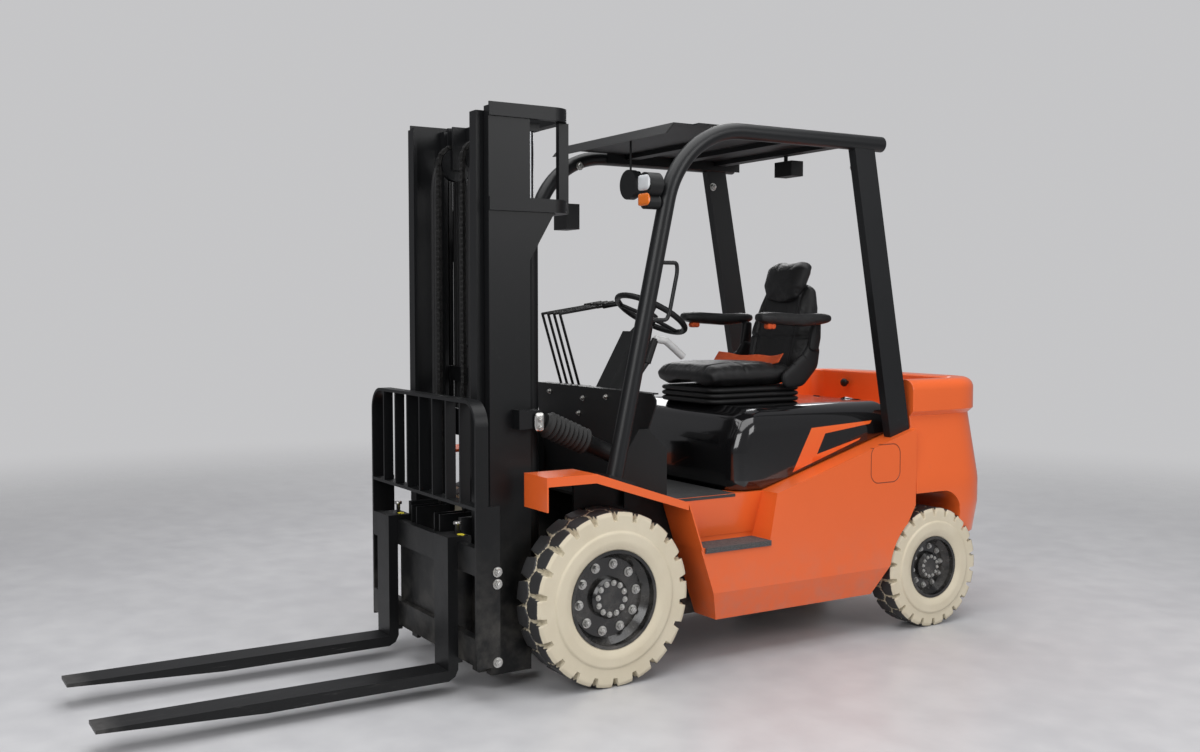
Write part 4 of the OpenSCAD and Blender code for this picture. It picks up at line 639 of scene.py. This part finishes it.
side_shells = both_sides(0.236, 32, [(0.93, 1.10), (1.02, 1.135), (1.085, 1.19), (1.12, 1.27)],
                         [0.014, 0.016, 0.016, 0.012], [0.030, 0.058, 0.052, 0.030], 3.0)
sheet_mesh("side_shells", side_shells, "hood_lid", seat_shell, (False, True))

# Lap belt: orange woven webbing, drawn taut across the cushion between its two anchors.
# The same orange is moulded into the small wheels under the armrests that set their slope.
webbing = finish("webbing", lambda place: {
    "Base_Color": place.cloud(50.0).tint((0.62, 0.075, 0.012), (0.80, 0.115, 0.02)),
    "Roughness": place.cloud(30.0) * 0.2 + 0.6, "Height": place.axis(0).ribs(2600.0) * 0.0002})
across, along = np.meshgrid(np.linspace(-0.222, 0.222, 80), np.linspace(-0.024, 0.024, 9), indexing="ij")
belt = np.stack([across, 0.925 + along * 0.6 + 0.010 * np.sin(across * 9.0),
                 1.196 + 0.012 * np.abs(across / 0.22) ** 3 + 0.003 * np.sin(across * 31.0) + along * 0.8], -1)
belt_piece = sheet_mesh("lap_belt", belt, "hood_lid", webbing, facing=(0, -1, 1))
wall = belt_piece.modifiers.new("wall", "SOLIDIFY")
wall.thickness, wall.offset = 0.003, 0.0


def lathe(profile, place, axis, columns=32):
    """Turned solid: radius and height of profile carried round the axis through place."""
    out, circle = around(axis, columns)
    rows = np.array(profile, float)
    return np.array(place) + rows[:, None, :1] * circle[None] + rows[:, None, 1:] * out


knob = [(0.0005, 0.0), (0.010, 0.0), (0.013, 0.003), (0.013, 0.029), (0.010, 0.032), (0.0005, 0.032)]
wheels = np.stack([lathe(knob, (sign * arm_x - 0.016, y, 1.352), (1, 0, 0), 20)
                   for _, sign in sides for y in (0.815, 0.835)])
sheet_mesh("arm_wheels", wheels, "hood_lid", webbing, (False, True))

# Tray latch: a moulded black plastic knob on a short stem.
# It is screwed into the rear wall of the counterweight's tray.
latch = lathe([(0.0005, -0.004), (0.009, -0.004), (0.009, 0.014), (0.019, 0.017), (0.021, 0.026), (0.017, 0.033),
               (0.0005, 0.034)], (-0.243, 1.769, 1.051), (0, -1, 0), 24)
sheet_mesh("tray_latch", latch, "chassis", seat_shell, (False, True))


# Lamp lenses: moulded clear and amber plastic with fine upright ribs, pressed into the front housings.
# A silvered glass is held in the mirror's rim in the same way.
def pillow(middle, right, up, out, bulge, power=4.0):
    """Raised rounded rectangle: spans right and up from its middle and rises along out, falling to its rim."""
    right, up, out = (np.array(v, float) for v in (right, up, out))
    u, v = np.meshgrid(np.linspace(-1, 1, 25), np.linspace(-1, 1, 25), indexing="ij")
    rounded = np.maximum((np.abs(u) ** power + np.abs(v) ** power) ** (1 / power), 1e-6)
    square = np.maximum(np.abs(u), np.abs(v)) / rounded
    u, v = u * square, v * square
    dome = np.clip(1 - np.abs(u) ** power, 0, 1) ** 0.5 * np.clip(1 - np.abs(v) ** power, 0, 1) ** 0.5
    return np.array(middle) + u[..., None] * right + v[..., None] * up + (dome * bulge)[..., None] * out


lens_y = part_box("lamps")[0][1] + 0.0005
for name, high, tall, tone in (("lens_clear", 1.906, 0.030, (0.70, 0.72, 0.74)),
                               ("lens_amber", 1.842, 0.024, (0.85, 0.19, 0.012))):
    lens = finish(name, lambda place, tone=tone: {
        "Base_Color": place.cloud(25.0).tint(tuple(0.85 * c for c in tone), tone),
        "Roughness": place.cloud(60.0) * 0.1 + 0.08,
        "Height": place.axis(0).ribs(900.0) * 0.0004}, Coat_Weight=0.6)
    pair = np.stack([pillow((sign * 0.520, lens_y, high), (0.040, 0, 0), (0, 0, tall), (0, -1, 0), 0.008)
                     for _, sign in sides])
    sheet_mesh(name, pair, "chassis", lens, facing=(0, -1, 0))
glass = finish("mirror_glass", lambda place: {
    "Base_Color": place.cloud(8.0).tint((0.62, 0.64, 0.66), (0.74, 0.76, 0.78)),
    "Roughness": place.cloud(40.0) * 0.05 + 0.03}, Metallic=1.0)
mirror_glass = pillow((0.090, 0.2402, 1.945), (0.056, 0, 0), (0, 0, 0.056), (0, 1, 0), 0.005, 5.0)
sheet_mesh("mirror_glass", mirror_glass, "chassis", glass, facing=(0, 1, 0))

# Lift chains: leaf chains of stamped steel links on pins, oiled dark, four plates and three by turns.
# Each goes from the carriage up over its sheave and down to the mast.
chain_steel = finish("chain_steel", mottled((0.012, 0.012, 0.012), (0.10, 0.098, 0.095), 120.0, (60.0, 0.2, 0.30),
                                            (350.0, 0.0002), 4.0), Metallic=0.9)
chain_x, pitch, link_r, plate_half = 0.110, 0.0205, 0.0072, 0.0016
sheave_y, sheave_z, sheave_r, anchor_z = -0.485, 2.003, 0.074, 1.0105
front_l, bend_l, rear_l = sheave_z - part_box("chains")[0][2], math.pi * sheave_r, sheave_z - anchor_z


def chain_line(run):
    """Place and direction in (y, z) after a run of chain: up the front, half round the sheave, down the rear."""
    angle = np.clip((run - front_l) / sheave_r, 0, math.pi)
    y = sheave_y - sheave_r * np.cos(angle)
    z = sheave_z + sheave_r * np.sin(angle) + np.minimum(run - front_l, 0) - np.maximum(run - front_l - bend_l, 0)
    return np.stack([y, z], -1), np.stack([np.sin(angle), np.cos(angle)], -1)


spot, way = chain_line((np.arange(int((front_l + bend_l + rear_l) / pitch)) + 0.5) * pitch)
turn = np.arange(10) / 10 * 2 * np.pi
link_l = link_r * np.cos(turn) + np.sign(np.cos(turn)) * pitch / 2
link_h = link_r * np.sin(turn)
flat = (spot[:, None, :] + link_l[None, :, None] * way[:, None, :]
        + link_h[None, :, None] * np.stack([-way[:, 1], way[:, 0]], -1)[:, None, :])
shrink = np.array((0.02, 1.0, 1.0, 0.02))[None, :, None, None]
plates = []
for odd, offsets in ((0, (-0.0105, -0.0035, 0.0035, 0.0105)), (1, (-0.007, 0.0, 0.007))):
    hub = spot[odd::2][:, None, None]
    ring = hub + (flat[odd::2][:, None] - hub) * shrink
    for x in [sign * chain_x + offset for _, sign in sides for offset in offsets]:
        rows = np.stack([np.broadcast_to(x + k * plate_half, flat[odd::2].shape[:2]) for k in (-1, -1, 1, 1)], 1)
        plates.append(np.concatenate([rows[..., None], ring], -1))
chain = sheet_mesh("chain_links", np.concatenate(plates), "inner_mast", chain_steel, (False, True), smooth=False)
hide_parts("chains")


# Hydraulic hoses: braided rubber lines clipped beside the chains, two a side over the top of the inner mast and
# three a side straight up its rear. The tilt rods wear pleated boots of the same rubber.
def tube(path, radius, columns=14, rows=120):
    """Round tube: a ring of that radius carried along a smooth line through the points of path."""
    path = np.array(path, float)
    reach = np.concatenate([[0], np.cumsum(np.linalg.norm(np.diff(path, axis=0), axis=1))])
    run = np.linspace(0, reach[-1], rows)
    line = np.stack([np.interp(run, reach, path[:, k]) for k in range(3)], -1)
    weight = np.ones(9) / 9
    padded_line = np.concatenate([np.repeat(line[:1], 4, 0), line, np.repeat(line[-1:], 4, 0)])
    line = np.stack([np.convolve(padded_line[:, k], weight, "valid") for k in range(3)], -1)
    along = np.gradient(line, axis=0)
    along /= np.linalg.norm(along, axis=1, keepdims=True)
    side = np.cross(along, (1.0, 0.02, 0.01))
    side /= np.linalg.norm(side, axis=1, keepdims=True)
    turn = np.arange(columns) / columns * 2 * np.pi
    return (line[:, None] + radius * (np.cos(turn)[None, :, None] * side[:, None]
                                      + np.sin(turn)[None, :, None] * np.cross(along, side)[:, None]))


hose_rubber = finish("hose_rubber", mottled((0.008, 0.008, 0.008), (0.020, 0.020, 0.021), 40.0, (80.0, 0.2, 0.45),
                                            (260.0, 0.0002)), Specular_IOR_Level=0.3)
boot_rubber = finish("boot_rubber", mottled((0.007, 0.007, 0.007), (0.022, 0.022, 0.022), 30.0, (60.0, 0.2, 0.5),
                                            (200.0, 0.0002), 4.0), Specular_IOR_Level=0.3)
dress(boot_rubber, "tilt_rods")
over = [(-0.552, 0.75), (-0.552, 1.95), (-0.535, 2.02), (-0.485, 2.06), (-0.435, 2.02), (-0.418, 1.95),
        (-0.418, 1.25)]
behind = [(-0.4105, 1.02), (-0.4105, 1.99)]
hoses = np.stack([tube([(sign * x, y, z) for y, z in route], radius)
                  for route, radius, beside in ((over, 0.009, (0.158, 0.182)),
                                                (behind, 0.0095, (0.232, 0.253, 0.274)))
                  for _, sign in sides for x in beside])
sheet_mesh("mast_hoses", hoses, "inner_mast", hose_rubber, (False, True))

# Tilt pins: zinc-plated keeper plates, each held by two bolts on the mast's flank.
# They stop the pin that joins a tilt cylinder to the mast from turning or sliding out.
keeper_x, keeper_y, keeper_z = 0.4255, -0.400, 1.006
for side, sign in sides:
    keeper = pillow((sign * keeper_x, keeper_y, keeper_z), (0, 0.020, 0), (0, 0, 0.034), (sign, 0, 0), 0.005)
    sheet_mesh(f"tilt_keeper_{side}", keeper, "outer_mast", zinc, facing=(sign, 0, 0))
    bolts(f"tilt_keeper_bolt_{side}", [(sign * 0.430, keeper_y, z) for z in (1.015, 0.986)], (sign, 0, 0), 0.017,
          "outer_mast")

# Fork locks: zinc-plated steel pins with round heads, dropped through the top of each fork's hook into a notch of
# the carriage bar. A yellow plastic tab beside each one marks it.
pin_x, pin_y, hook_top = 0.284, -0.672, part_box("forks")[1][2]
pin = [(0.0005, 0.0), (0.008, 0.0), (0.008, 0.034), (0.015, 0.036), (0.015, 0.046), (0.0005, 0.048)]
pins = np.stack([lathe(pin, (sign * pin_x, pin_y, hook_top - 0.001), (0, 0, 1), 16) for _, sign in sides])
sheet_mesh("fork_pins", pins, "carriage", zinc, (False, True))
yellow = finish("tab_yellow", mottled((0.62, 0.52, 0.02), (0.75, 0.66, 0.05), 60.0, (50.0, 0.2, 0.4),
                                      (200.0, 0.0001)))
tabs = np.stack([pillow((sign * pin_x + 0.030, pin_y, hook_top + 0.0003), (0.016, 0, 0), (0, 0.012, 0), (0, 0, 1),
                        0.004) for _, sign in sides])
sheet_mesh("fork_tabs", tabs, "carriage", yellow, facing=(0, 0, 1))

# Grab handle and brake grip: a steel tube, bent and welded to the left pillar, in the guard's black powder coat,
# and the pale plastic sleeve that is pushed on the park brake's lever.
handle_x, grip_x = 0.52, 0.15
handle = tube([(handle_x, y, z) for y, z in ((0.030, 1.384), (0.112, 1.384), (0.126, 1.420), (0.160, 1.570),
                                             (0.158, 1.605), (0.080, 1.605))], 0.008)
handle = sheet_mesh("grab_tube", handle, "chassis", guard_black, (False, True))
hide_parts("grab_handle")
pale = finish("pale_sleeve", mottled((0.52, 0.52, 0.52), (0.66, 0.66, 0.65), 30.0, (40.0, 0.2, 0.4),
                                     (120.0, 0.0008)))
sleeve = tube([(grip_x, y, z) for y, z in ((0.308, 1.300), (0.364, 1.292), (0.455, 1.222))], 0.016)
sheet_mesh("brake_sleeve", sleeve, "chassis", pale, (False, True))
